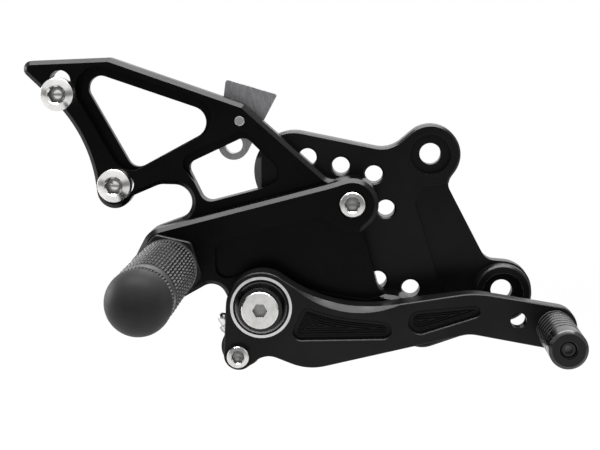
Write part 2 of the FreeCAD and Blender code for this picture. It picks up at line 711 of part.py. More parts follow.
def add_hanger_holes(body, s):
    """Bolt holes and sinks, slots, and the bores for peg, pivot, stop and tab screw."""
    front = "Sizes.plate_thickness + Sizes.hanger_thickness"
    back = "Sizes.plate_thickness"
    upper = ("Sizes.upper_bolt_x", "Sizes.upper_bolt_z")
    lower = ("Sizes.upper_bolt_x + Sizes.bolt_step_x", "Sizes.upper_bolt_z + Sizes.bolt_step_z")
    shank = "Sizes.m_six_radius + Sizes.thread_gap"
    head = "Sizes.m_six_head_radius + Sizes.head_sink_gap"
    add_bores(body, "bolt_holes", front, [(*upper, shank), (*lower, shank)])
    add_bores(body, "bolt_sinks", front, [(*upper, head), (*lower, head)],
              "Sizes.hanger_sink_depth")
    threads = "Sizes.m_eight_radius + Sizes.thread_gap"
    add_bores(body, "peg_and_pivot_holes", front, [
        ("Sizes.peg_x", "Sizes.peg_z", threads),
        ("Sizes.pivot_x", "Sizes.pivot_z", threads),
    ])
    add_bores(body, "peg_bolt_sink", back,
              [("Sizes.peg_x", "Sizes.peg_z", "Sizes.m_eight_head_radius + Sizes.head_sink_gap")],
              "Sizes.m_eight_head_height + Sizes.head_sink_gap", from_back=True)
    add_bores(body, "stop_hole", front,
              [(*stop_place(s), "Sizes.stop_radius + Sizes.press_gap")], "Sizes.stop_seat")
    add_bores(body, "tab_screw_hole", front,
              [("Sizes.tab_screw_x", "Sizes.tab_screw_z",
                "Sizes.tab_screw_radius + Sizes.thread_gap")])
    sketch = face_sketch(body, "slots_sketch", front,
                         slot(s.rear_slot_x, s.rear_slot_z, s.rear_slot_length, True,
                              s.slot_radius)
                         + slot(s.lobe_slot_x, s.lobe_slot_z, s.lobe_slot_length, False,
                                s.slot_radius))
    add_pocket(body, "slots", sketch)


def stop_place(s):
    """Stop pin's axis, as x and z in the sheet's terms."""
    x = s.pivot_x + s.stop_distance * math.cos(math.radians(s.stop_angle))
    z = s.pivot_z + s.stop_distance * math.sin(math.radians(s.stop_angle))
    return f"{x} mm", f"{z} mm"


def build_tab(doc, s):
    """Light tab behind the arm, with slanted grooves and an eye at its lower end."""
    body = new_body(doc, "hose_tab")
    outline = belt([
        (s.tab_screw_x + 12.9, s.tab_screw_z + 9.5, 1.0),
        (s.tab_screw_x - 5.3, s.tab_screw_z + 14.8, 1.0),
        (s.tab_eye_x, s.tab_eye_z, s.tab_end_radius),
    ])
    sketch = face_sketch(body, "tab_sketch", "Sizes.plate_thickness - Sizes.tab_thickness",
                         outline)
    add_pad(body, "tab", sketch, "Sizes.tab_thickness")
    add_bores(body, "holes", "Sizes.plate_thickness", [
        ("Sizes.tab_eye_x", "Sizes.tab_eye_z", "Sizes.tab_eye_radius"),
        ("Sizes.tab_screw_x", "Sizes.tab_screw_z", "Sizes.tab_screw_radius + Sizes.thread_gap"),
    ])
    grooves = []
    for top, bottom in (
        ((-7.2, 17.7), (-3.4, 8.9)),
        ((1.7, 16.5), (5.6, 2.4)),
        ((6.6, 14.3), (11.8, 5.1)),
    ):
        ends = [(s.tab_screw_x + x, s.tab_screw_z + z, s.tab_groove_radius)
                for x, z in (top, bottom)]
        grooves += belt(ends)
    add_pocket(body, "grooves",
               face_sketch(body, "grooves_sketch", "Sizes.plate_thickness", grooves),
               "Sizes.tab_groove_depth")
    return body


# Brake lever


def face_pockets(s, crest, inset=0.0):
    """Outlines of the two pockets in the lever's face, drawn in by an inset."""
    rear = [
        (s.pivot_x + 47.1, s.pivot_z - 8.8, 3.2 - inset),
        (*crest, -61.3 - inset),
        (s.pivot_x + 18.0, s.pivot_z - 3.3, 2.8 - inset),
        (s.pivot_x + 15.5, s.pivot_z - 9.6, 3.2 - inset),
    ]
    front = [
        (s.pivot_x + 82.3, s.pivot_z - 1.1, 2.1 - inset),
        (s.pivot_x + 61.4, s.pivot_z - 5.5, 4.4 - inset),
    ]
    return belt(rear) + belt(front)


def build_lever(doc, s):
    """Brake lever with bearing hub, push rod arm and toe peg end."""
    back = s.plate_thickness + s.hanger_thickness + s.lever_gap
    front = back + s.lever_thickness
    back_term = "Sizes.plate_thickness + Sizes.hanger_thickness + Sizes.lever_gap"
    front_term = back_term + " + Sizes.lever_thickness"
    crest = (s.pivot_x + 40.8, s.pivot_z + 55.8)
    crest_radius = 56.5
    body = new_body(doc, "brake_lever")
    outline = belt([
        (s.toe_x + 0.2, s.toe_z + 0.1, s.toe_end_radius),
        (s.pivot_x + 82.4, s.pivot_z - 33.1, 39.0),
        (*crest, -crest_radius),
        (s.pivot_x, s.pivot_z, s.hub_radius),
        (s.arm_screw_x, s.arm_screw_z, s.arm_end_radius),
        (s.pivot_x + 3.0, s.pivot_z - 27.2, -7.9),
        (s.pivot_x + 19.7, s.pivot_z - 1.6, 22.0),
        (s.pivot_x + 80.8, s.pivot_z - 22.5, -12.5),
    ])
    add_pad(body, "lever", face_sketch(body, "lever_sketch", back_term, outline),
            "Sizes.lever_thickness")
    add_bevel(body, "lever_edge", "Sizes.lever_bevel", lambda shape: outer_rim(shape, front))
    turn = math.radians(s.crest_flank_turn_angle)
    flank = crest_radius - s.crest_flank_offset + s.crest_flank_width
    inside = s.crest_flank_width + 1.0
    add_turned_cut(body, "crest_flank", crest[0] + s.crest_flank_offset * math.cos(turn),
                   crest[1] + s.crest_flank_offset * math.sin(turn), [
                       (flank + 1.0, front + 1.0),
                       (flank - inside, front + 1.0),
                       (flank - inside, front - inside),
                   ])
    relief = polygon([
        (s.lever_relief_x, -back),
        (s.lever_relief_x + s.lever_relief_run, -back - s.lever_relief),
        (s.toe_x + 30.0, -back - s.lever_relief),
        (s.toe_x + 30.0, -back),
    ])
    thinner = add_pocket(body, "toe_relief",
                         sketch_on(body, "toe_relief_sketch", "XY_Plane", relief))
    thinner.Midplane = True
    add_pocket(body, "face_pockets",
               face_sketch(body, "face_pockets_sketch", front_term, face_pockets(s, crest)),
               "Sizes.lever_pocket_depth")
    add_bevel(body, "pocket_edges", "Sizes.lever_pocket_bevel",
              lambda shape: inner_rims(shape, front, 15.0, 60.0))
    floors = face_pockets(s, crest, s.lever_pocket_step)
    add_pocket(body, "pocket_floors",
               face_sketch(body, "pocket_floors_sketch", front_term, floors),
               "Sizes.lever_pocket_depth + Sizes.lever_floor_depth")
    add_bores(body, "bearing_bore", front_term,
              [("Sizes.pivot_x", "Sizes.pivot_z", "Sizes.bearing_radius + Sizes.thread_gap")])
    add_bores(body, "arm_hole", front_term,
              [("Sizes.arm_screw_x", "Sizes.arm_screw_z",
                "Sizes.m_five_radius + Sizes.thread_gap")])
    add_bores(body, "arm_spot_face", front_term,
              [("Sizes.arm_screw_x", "Sizes.arm_screw_z", "Sizes.arm_sink_radius")],
              "Sizes.arm_sink_depth")
    toe_thread = "Sizes.m_six_radius + Sizes.thread_gap"
    add_bores(body, "toe_holes", front_term, [
        ("Sizes.toe_x", "Sizes.toe_z", toe_thread),
        ("Sizes.spare_toe_x", "Sizes.spare_toe_z", toe_thread),
    ])
    groove = arc_slot(s.pivot_x, s.pivot_z, s.stop_distance, s.stop_radius + s.thread_gap,
                      s.stop_angle, s.stop_angle + s.lever_travel_angle)
    add_pocket(body, "stop_groove", face_sketch(body, "stop_groove_sketch", back_term, groove),
               "Sizes.stop_reach + Sizes.head_sink_gap", from_back=True)
    return body


def build_stop_pin(doc, s):
    """Dowel in the hanger plate that runs in the lever's blind groove."""
    front = s.plate_thickness + s.hanger_thickness
    x, z = stop_place(s)
    body = new_body(doc, "stop_pin", x, z)
    add_turned(body, "pin", [
        (0, front - s.stop_seat),
        (s.stop_radius, front - s.stop_seat),
        (s.stop_radius, front + s.lever_gap + s.stop_reach),
        (0, front + s.lever_gap + s.stop_reach),
    ])
    return body


def build_pivot(doc, s):
    """Flanged sleeve, two sealed bearings, conical washer and low head bolt."""
    place = ("Sizes.pivot_x", "Sizes.pivot_z")
    boss = s.plate_thickness + s.hanger_thickness
    hub = boss + s.lever_gap
    hub_front = hub + s.lever_thickness
    washer = hub_front + s.pivot_washer_gap
    head = washer + s.pivot_washer_thickness
    bore = s.m_eight_radius + s.thread_gap
    sleeve = new_body(doc, "pivot_sleeve", *place)
    add_turned(sleeve, "sleeve", [
        (bore, boss), (s.sleeve_flange_radius, boss), (s.sleeve_flange_radius, hub),
        (s.sleeve_radius, hub), (s.sleeve_radius, washer), (bore, washer),
    ])
    half = 0.5 * s.lever_thickness
    race_bore = s.bearing_radius - s.outer_race_wall
    for name, start, outside in (("rear", hub, -1), ("front", hub + half, 1)):
        outer = new_body(doc, f"outer_race_{name}", *place)
        add_turned(outer, "race", [
            (race_bore, start), (s.bearing_radius, start),
            (s.bearing_radius, start + half), (race_bore, start + half),
        ])
        inner = new_body(doc, f"inner_race_{name}", *place)
        inner_bore = s.sleeve_radius + 0.5 * s.thread_gap
        add_turned(inner, "race", [
            (inner_bore, start), (s.inner_race_radius, start),
            (s.inner_race_radius, start + half), (inner_bore, start + half),
        ])
        face = start + half - s.seal_recess if outside > 0 else start + s.seal_recess
        seal_back = face - outside * s.seal_thickness
        seal_in = s.inner_race_radius + s.running_gap
        seal_out = race_bore - 0.5 * s.thread_gap
        seal = new_body(doc, f"bearing_seal_{name}", *place)
        add_turned(seal, "seal", [
            (seal_in, min(face, seal_back)), (seal_out, min(face, seal_back)),
            (seal_out, max(face, seal_back)), (seal_in, max(face, seal_back)),
        ])
    cone = new_body(doc, "pivot_washer", *place)
    add_turned(cone, "washer", [
        (bore, washer),
        (s.pivot_washer_radius, washer),
        (s.pivot_washer_radius, washer + s.pivot_washer_rim),
        (s.pivot_washer_top_radius, head),
        (bore, head),
    ])
    bolt = new_body(doc, "pivot_bolt", *place)
    tip = boss - s.pivot_bolt_depth
    crown = head + s.pivot_head_height
    add_turned(bolt, "bolt", [
        (0, tip),
        (s.m_eight_radius - s.tip_bevel, tip),
        (s.m_eight_radius, tip + s.tip_bevel),
        (s.m_eight_radius, head),
        (s.pivot_head_radius, head),
        (s.pivot_head_radius, crown - s.pivot_head_bevel),
        (s.pivot_head_radius - s.pivot_head_bevel, crown),
        (0, crown),
    ])
    add_socket(bolt, "socket", crown, s.pivot_socket_flats, s.pivot_socket_depth)


# Pegs


def build_foot_peg(doc, s):
    """Turned foot peg on a hexagonal collar, its bolt from behind and its round cap."""
    place = ("Sizes.peg_x", "Sizes.peg_z")
    root = s.plate_thickness + s.hanger_thickness
    end = root + s.foot_peg_length
    collar = root + s.peg_collar_thickness
    ring = end - s.peg_rim_length - s.peg_ring_length
    groove = ring - s.peg_groove_length
    valley = s.foot_peg_radius - s.peg_groove_depth
    thread = s.m_eight_radius + s.thread_gap
    socket = s.cap_spigot_radius + s.thread_gap
    body = new_body(doc, "foot_peg", *place)
    corners = hexagon_corners(s.peg_collar_flats, s.peg_collar_turn_angle)
    outline = belt(rounded([(x, z, s.peg_collar_corner) for x, z in corners]))
    add_pad(body, "collar",
            face_sketch(body, "collar_sketch", "Sizes.plate_thickness + Sizes.hanger_thickness",
                        outline), "Sizes.peg_collar_thickness")
    add_turned(body, "barrel", [
        (0, root),
        (s.peg_neck_radius, root),
        (s.peg_neck_radius, collar + s.peg_neck_length),
        (s.foot_peg_radius, collar + s.peg_neck_length),
        (s.foot_peg_radius, groove),
        (valley, groove),
        (valley, ring),
        (s.foot_peg_radius, ring),
        (s.foot_peg_radius, end),
        (0, end),
    ])
    add_turned_cut(body, "bolt_thread", 0, 0, [
        (0, root), (thread, root),
        (thread, root + s.peg_thread_depth), (0, root + s.peg_thread_depth),
    ])
    spigot = end - s.cap_spigot_length - s.head_sink_gap
    add_turned_cut(body, "cap_bore", 0, 0, [
        (0, spigot), (socket, spigot), (socket, end), (0, end),
    ])
    cap = new_body(doc, "peg_end_cap", *place)
    dome = Part.ArcOfCircle(
        Part.Circle(point(0, -end), FreeCAD.Vector(0, 0, 1), s.cap_radius),
        -0.5 * math.pi, 0)
    ends = [
        point(s.cap_radius, -end),
        point(s.cap_spigot_radius, -end),
        point(s.cap_spigot_radius, s.cap_spigot_length - end),
        point(0, s.cap_spigot_length - end),
        point(0, -end - s.cap_radius),
    ]
    add_turned(cap, "cap", [dome] + [Part.LineSegment(a, b) for a, b in zip(ends, ends[1:])])
    seat = s.plate_thickness + s.m_eight_head_height + s.head_sink_gap
    bolt = new_body(doc, "foot_peg_bolt", *place)
    shank_end = root + s.peg_bolt_reach
    bottom = seat - s.m_eight_head_height
    edge = s.tip_bevel
    add_turned(bolt, "turned", [
        (0, bottom),
        (s.m_eight_head_radius - edge, bottom),
        (s.m_eight_head_radius, bottom + edge),
        (s.m_eight_head_radius, seat),
        (s.m_eight_radius, seat),
        (s.m_eight_radius, shank_end - edge),
        (s.m_eight_radius - edge, shank_end),
        (0, shank_end),
    ])
    sketch = sketch_on(bolt, "socket_sketch", "XZ_Plane", hexagon(s.m_eight_socket_flats))
    sketch.AttachmentOffset = FreeCAD.Placement(FreeCAD.Vector(0, 0, bottom), FreeCAD.Rotation())
    cut = bolt.newObject("PartDesign::Pocket", "socket")
    cut.Profile = sketch
    cut.Length = 0.5 * s.m_eight_head_height
    cut.Reversed = True


def build_toe_peg(doc, s):
    """Grooved toe peg and the long screw through it."""
    place = ("Sizes.toe_x", "Sizes.toe_z")
    root = s.plate_thickness + s.hanger_thickness + s.lever_gap + s.lever_thickness
    end = root + s.toe_peg_length
    bore = s.m_six_radius + s.thread_gap
    radius = s.toe_peg_radius
    valley = radius - s.toe_groove_depth
    slant = 0.5 * s.toe_groove_depth
    profile = [(bore, root), (radius, root)]
    for index in range(int(s.toe_groove_count)):
        start = root + s.toe_groove_start + index * s.toe_groove_pitch
        profile += [
            (radius, start),
            (valley, start + slant),
            (valley, start + s.toe_groove_width - slant),
            (radius, start + s.toe_groove_width),
        ]
    recess = bore + s.toe_sink_gap
    head = end - s.toe_screw_depth
    profile += [
        (radius, end - s.toe_peg_bevel), (radius - s.toe_peg_bevel, end),
        (recess, end), (recess, head), (bore, head),
    ]
    body = new_body(doc, "toe_peg", *place)
    add_turned(body, "peg", profile)
    screw = new_body(doc, "toe_peg_screw", *place)
    tip = root - s.lever_thickness + s.lever_relief
    edge = s.tip_bevel
    add_turned(screw, "screw", [
        (0, tip),
        (s.m_six_radius - edge, tip),
        (s.m_six_radius, tip + edge),
        (s.m_six_radius, head - edge),
        (s.m_six_radius - edge, head),
        (0, head),
    ])
    add_socket(screw, "socket", head, s.toe_socket_flats, s.toe_socket_flats)


# Push rod end


def build_push_rod(doc, s):
    """Ball, eye, lock nut and stud behind the lever's arm, with spacer, screw and nut."""
    place = ("Sizes.arm_screw_x", "Sizes.arm_screw_z")
    lever_back = s.plate_thickness + s.hanger_thickness + s.lever_gap
    lever_front = lever_back + s.lever_thickness
    seat = lever_front - s.arm_sink_depth
    ball_front = lever_back - s.rod_spacer_length
    middle = ball_front - 0.5 * s.rod_ball_width
    ball_back = ball_front - s.rod_ball_width
    bore = s.m_five_radius + s.thread_gap
    cap_screw(doc, "arm_screw", place, seat, s.m_five_radius,
              (s.m_five_head_radius, s.m_five_head_height),
              ball_back - s.m_five_nut_height - s.arm_screw_reach, s.m_five_socket_flats)
    hex_nut(doc, "arm_nut", place, ball_back - s.m_five_nut_height, s.m_five_nut_flats,
            s.m_five_nut_height, bore)
    spacer = new_body(doc, "arm_spacer", *place)
    add_turned(spacer, "spacer", [
        (bore, ball_front),
        (s.rod_spacer_radius, ball_front),
        (s.rod_spacer_root_radius, lever_back),
        (bore, lever_back),
    ])
    ball = new_body(doc, "rod_ball", *place)
    half = 0.5 * s.rod_ball_width
    flat = math.sqrt(s.rod_ball_radius ** 2 - half ** 2)
    round_side = Part.Arc(point(flat, -middle - half), point(s.rod_ball_radius, -middle),
                          point(flat, -middle + half))
    ends = [point(flat, -middle + half), point(bore, -middle + half),
            point(bore, -middle - half), point(flat, -middle - half)]
    add_turned(ball, "ball", [round_side]
               + [Part.LineSegment(a, b) for a, b in zip(ends, ends[1:])])
    build_rod_eye(doc, s, place, middle)
    add_rod_pieces(doc, s, middle)


def rod_line(s, distance, middle):
    """Placement on the push rod's line at a distance from the eye's centre."""
    angle = math.radians(s.rod_angle)
    along = FreeCAD.Vector(math.cos(angle), 0, math.sin(angle))
    centre = FreeCAD.Vector(s.arm_screw_x, -middle, s.arm_screw_z)
    turn = FreeCAD.Rotation(FreeCAD.Vector(0, 0, 1), along)
    return FreeCAD.Placement(centre + along * distance, turn)


def build_rod_eye(doc, s, place, middle):
    """Black eye with a short neck, hollowed for the ball."""
    body = new_body(doc, "push_rod_eye", *place)
    half = 0.5 * s.rod_eye_thickness
    back = f"{middle - half} mm"
    sketch = face_sketch(body, "disc_sketch", back)
    add_circle(sketch, "0 mm", "0 mm", "Sizes.rod_eye_radius")
    add_pad(body, "disc", sketch, "Sizes.rod_eye_thickness")
    neck = body.newObject("PartDesign::AdditiveCylinder", "neck")
    neck.setExpression("Radius", "Sizes.rod_neck_radius")
    neck.setExpression("Height", "Sizes.rod_nut_start - (Sizes.rod_ball_radius"
                                 " + Sizes.rod_eye_radius) / 2")
    start = rod_line(s, 0.5 * (s.rod_ball_radius + s.rod_eye_radius), middle)
    start.Base -= FreeCAD.Vector(s.arm_screw_x, 0, s.arm_screw_z)
    neck.Placement = start
    cup = s.rod_ball_radius + s.running_gap
    mouth = math.sqrt(cup ** 2 - half ** 2)
    inside = Part.Arc(point(mouth, -middle + half), point(cup, -middle),
                      point(mouth, -middle - half))
    ends = [point(mouth, -middle - half), point(0, -middle - half),
            point(0, -middle + half), point(mouth, -middle + half)]
    add_turned_cut(body, "ball_seat", 0, 0,
                   [inside] + [Part.LineSegment(a, b) for a, b in zip(ends, ends[1:])])
    return body


def add_rod_pieces(doc, s, middle):
    """Lock nut and domed stud on the push rod's line."""
    start = rod_line(s, s.rod_nut_start, middle)
    nut = doc.addObject("Part::Prism", "rod_nut_hexagon")
    nut.Polygon = 6
    nut.Circumradius = s.rod_nut_flats / math.sqrt(3)
    nut.setExpression("Height", "Sizes.rod_nut_end - Sizes.rod_nut_start")
    hole = doc.addObject("Part::Cylinder", "rod_nut_thread")
    hole.setExpression("Radius", "Sizes.rod_stud_radius + Sizes.thread_gap")
    hole.setExpression("Height", "Sizes.rod_nut_end - Sizes.rod_nut_start")
    nut.Placement = start
    hole.Placement = start
    locknut = doc.addObject("Part::Cut", "push_rod_nut")
    locknut.Base = nut
    locknut.Tool = hole
    locknut.Label = "push_rod_nut"
    shank = doc.addObject("Part::Cylinder", "rod_stud_shank")
    shank.setExpression("Radius", "Sizes.rod_stud_radius")
    shank.setExpression("Height",
                        "Sizes.rod_stud_end - Sizes.rod_stud_radius - Sizes.rod_nut_start")
    shank.Placement = start
    tip = doc.addObject("Part::Sphere", "rod_stud_tip")
    tip.setExpression("Radius", "Sizes.rod_stud_radius")
    tip.Placement = rod_line(s, s.rod_stud_end - s.rod_stud_radius, middle)
    stud = doc.addObject("Part::Fuse", "push_rod_stud")
    stud.Base = shank
    stud.Tool = tip
    stud.Label = "push_rod_stud"


def build_fasteners(doc, s):
    """Hanger bolts with nuts, rear screws and the tab's screw."""
    upper = ("Sizes.upper_bolt_x", "Sizes.upper_bolt_z")
    lower = ("Sizes.upper_bolt_x + Sizes.bolt_step_x", "Sizes.upper_bolt_z + Sizes.bolt_step_z")
    seat = s.plate_thickness + s.hanger_thickness - s.hanger_sink_depth
    six = (s.m_six_head_radius, s.m_six_head_height)
    for name, place in (("upper", upper), ("lower", lower)):
        cap_screw(doc, f"{name}_hanger_bolt", place, seat, s.m_six_radius, six,
                  -s.m_six_nut_height - s.hanger_bolt_reach, s.m_six_socket_flats)
        hex_nut(doc, f"{name}_hanger_nut", place, -s.m_six_nut_height, s.m_six_nut_flats,
                s.m_six_nut_height, s.m_six_radius + s.thread_gap)
    eight = (s.m_eight_head_radius, s.m_eight_head_height)
    arm_front = s.plate_thickness + s.arm_thickness
    runout = (s.plate_thickness - s.undercut_lead, s.undercut_width, s.undercut_radius)
    cap_screw(doc, "upper_rear_screw", ("Sizes.rear_slot_x", "Sizes.rear_slot_z"), arm_front,
              s.m_eight_radius, eight, -s.rear_screw_reach, s.m_eight_socket_flats, runout)
    cap_screw(doc, "lower_rear_screw", ("Sizes.lobe_slot_x", "Sizes.lobe_slot_z"), arm_front,
              s.m_eight_radius, eight, -s.rear_screw_reach, s.m_eight_socket_flats, runout)
    tab_back = s.plate_thickness - s.tab_thickness
    body = new_body(doc, "tab_screw", "Sizes.tab_screw_x", "Sizes.tab_screw_z")
    bottom = tab_back - s.tab_head_height
    edge = s.tip_bevel
    add_turned(body, "turned", [
        (0, bottom),
        (s.tab_head_radius - edge, bottom),
        (s.tab_head_radius, bottom + edge),
        (s.tab_head_radius, tab_back),
        (s.tab_screw_radius, tab_back),
        (s.tab_screw_radius, arm_front - edge),
        (s.tab_screw_radius - edge, arm_front),
        (0, arm_front),
    ])


def subparts(doc):
    """Objects that stand for a piece: bodies, and booleans that nothing else uses."""
    pieces = [item for item in doc.Objects if item.TypeId == "PartDesign::Body"]
    pieces += [item for item in doc.Objects
               if item.TypeId in ("Part::Cut", "Part::Fuse") and not item.InList]
    return pieces


def check(doc):
    """Stop on any feature that failed, and on any piece that is not one sound solid."""
    for item in doc.Objects:
        if "Invalid" in item.State or "Error" in item.State:
            raise RuntimeError(f"{item.Name} failed: {item.State}")
    for piece in subparts(doc):
        if piece.Shape.isNull() or not piece.Shape.isValid():
            raise RuntimeError(f"{piece.Label} has no sound shape")
        if len(piece.Shape.Solids) != 1:
            raise RuntimeError(f"{piece.Label} has {len(piece.Shape.Solids)} solids")


def export(doc):
    os.makedirs("parts", exist_ok=True)
    for piece in subparts(doc):
        piece.Shape.exportStep(f"parts/{piece.Label}.step")
        box = piece.Shape.BoundBox
        print(f"{piece.Label:20s} volume {piece.Shape.Volume:9.1f}"
              f"  x {box.XMin:7.1f} {box.XMax:7.1f}"
              f"  y {box.YMin:7.1f} {box.YMax:7.1f}"
              f"  z {box.ZMin:7.1f} {box.ZMax:7.1f}")


def main():
    doc = FreeCAD.newDocument(DOCUMENT_NAME)
    sheet = fill_sheet(doc)
    sizes = Sizes(sheet)
    build_frame_plate(doc, sizes)
    build_hanger_plate(doc, sizes)
    build_tab(doc, sizes)
    build_lever(doc, sizes)
    build_stop_pin(doc, sizes)
    build_pivot(doc, sizes)
    build_foot_peg(doc, sizes)
    build_toe_peg(doc, sizes)
    build_push_rod(doc, sizes)
    build_fasteners(doc, sizes)
    doc.recompute()
    check(doc)
    export(doc)


main()
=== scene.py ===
import logging
import math
from dataclasses import dataclass
from enum import Enum
from typing import Any, Sequence

import bmesh
import bpy
from bpy.types import ID, Material, Mesh, Node, NodeSocket, NodeTree, Object
from mathutils import Matrix, Vector
from mathutils.bvhtree import BVHTree
from mathutils.kdtree import KDTree


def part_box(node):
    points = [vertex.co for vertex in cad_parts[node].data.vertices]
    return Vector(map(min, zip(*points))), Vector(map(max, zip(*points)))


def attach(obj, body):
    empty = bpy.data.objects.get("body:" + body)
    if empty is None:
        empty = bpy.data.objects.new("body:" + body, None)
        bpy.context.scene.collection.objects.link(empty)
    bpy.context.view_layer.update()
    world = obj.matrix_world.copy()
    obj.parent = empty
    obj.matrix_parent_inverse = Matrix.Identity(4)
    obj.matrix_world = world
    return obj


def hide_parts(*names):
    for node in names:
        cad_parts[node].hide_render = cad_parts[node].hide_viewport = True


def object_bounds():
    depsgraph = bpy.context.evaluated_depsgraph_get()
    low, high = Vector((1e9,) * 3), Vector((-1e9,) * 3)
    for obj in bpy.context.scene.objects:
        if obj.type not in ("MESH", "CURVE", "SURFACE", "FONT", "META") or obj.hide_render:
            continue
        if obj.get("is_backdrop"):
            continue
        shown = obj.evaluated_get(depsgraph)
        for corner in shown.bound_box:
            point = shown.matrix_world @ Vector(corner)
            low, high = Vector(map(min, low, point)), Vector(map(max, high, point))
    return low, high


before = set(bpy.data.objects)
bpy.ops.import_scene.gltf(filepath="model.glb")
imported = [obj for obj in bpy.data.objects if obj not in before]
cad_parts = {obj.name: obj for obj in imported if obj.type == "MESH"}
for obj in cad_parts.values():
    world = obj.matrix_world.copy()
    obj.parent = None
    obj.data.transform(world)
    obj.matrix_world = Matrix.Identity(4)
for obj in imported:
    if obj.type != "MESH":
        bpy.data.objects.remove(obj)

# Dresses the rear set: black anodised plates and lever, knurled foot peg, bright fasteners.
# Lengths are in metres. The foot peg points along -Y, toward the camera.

LOG = logging.getLogger("rear_set")
MM = 0.001
WELD = 0.002 * MM
FLAT_WITHIN = math.radians(0.05)
BROKEN_OVER = math.radians(32)
SMOOTH_UNDER = math.radians(28)
SIXTH = math.pi / 3
WHITE = (1, 1, 1, 1)

# Knurl: of five rings, those past the third lack most of their depth.
KNURL_RINGS, KNURL_DEEP, KNURL_LACK = 5.0, 2.5, 0.8

# Written on the meshes: each point's place from the axis, and which faces are slanted cuts.
AXIS_PLACE = "axis_place"
CUT = "cut_share"
CUT_LEANS = (0.2, 0.95)

Number = "Value | float"
Triple = tuple[float, float, float]
Span = tuple[float, float]


class Slot(Enum):
    """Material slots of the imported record."""

    BLACK = "black_anodised"
    KNURLED = "knurled_black"
    TAB = "plain_aluminium"
    BRIGHT = "bright_steel"
    RACE = "race_steel"
    DARK = "dark_steel"
    RUBBER = "seal_rubber"
    CAP = "cap_plastic"


# Node trees


class Value:
    """A socket that carries a number, so that node maths reads as plain arithmetic."""

    def __init__(self, graph: "Nodes", socket: NodeSocket) -> None:
        """Wrap a socket of a graph."""
        self.graph = graph
        self.socket = socket

    def __add__(self, other: Number) -> "Value":
        """Sum."""
        return self.graph.math("ADD", self, other)

    def __sub__(self, other: Number) -> "Value":
        """Difference."""
        return self.graph.math("SUBTRACT", self, other)

    def __rsub__(self, other: Number) -> "Value":
        """Difference with a plain number first."""
        return self.graph.math("SUBTRACT", other, self)

    def __mul__(self, other: Number) -> "Value":
        """Product."""
        return self.graph.math("MULTIPLY", self, other)

    def __truediv__(self, other: Number) -> "Value":
        """Quotient."""
        return self.graph.math("DIVIDE", self, other)

    def __rtruediv__(self, other: Number) -> "Value":
        """Quotient with a plain number first."""
        return self.graph.math("DIVIDE", other, self)

    __radd__ = __add__
    __rmul__ = __mul__

    def sine(self) -> "Value":
        """Sine of the number, in radians."""
        return self.graph.math("SINE", self)

    def between(self, low: float, high: float) -> "Value":
        """Rise smoothly from 0 to 1 while the number goes from low to high.

        Args:
            low: Number at which the result leaves 0.
            high: Number at which the result reaches 1.

        Returns:
            The share between the two.
        """
        settings = {"interpolation_type": "SMOOTHSTEP"}
        inputs = {"Value": self, "From Min": low, "From Max": high}
        return Value(self.graph, self.graph.node("ShaderNodeMapRange", settings, inputs).outputs[0])


class Nodes:
    """A node tree of any kind."""

    def __init__(self, tree: NodeTree) -> None:
        """Wrap a tree."""
        self.tree = tree

    def node(
        self,
        kind: str,
        settings: dict[str, Any] | None = None,
        inputs: dict[str | int, Any] | None = None,
    ) -> Node:
        """Add a node.

        Args:
            kind: The node's type.
            settings: Properties, set before the sockets are filled.
            inputs: Values, sockets or wrapped sockets by input name or number.

        Returns:
            The new node.
        """
        made = self.tree.nodes.new(kind)
        for name, value in (settings or {}).items():
            setattr(made, name, value)
        for name, value in (inputs or {}).items():
            self.feed(made.inputs[name], value)
        return made

    def feed(self, socket: NodeSocket, value: Any) -> None:
        """Link or set one input.

        Args:
            socket: The input.
            value: A wrapped socket, a socket, or a plain value.
        """
        if isinstance(value, Value):
            self.tree.links.new(value.socket, socket)
        elif isinstance(value, NodeSocket):
            self.tree.links.new(value, socket)
        else:
            socket.default_value = value

    def math(self, operation: str, *values: Number) -> Value:
        """Add a Math node for these values."""
        inputs = dict(enumerate(values))
        return Value(self, self.node("ShaderNodeMath", {"operation": operation}, inputs).outputs[0])


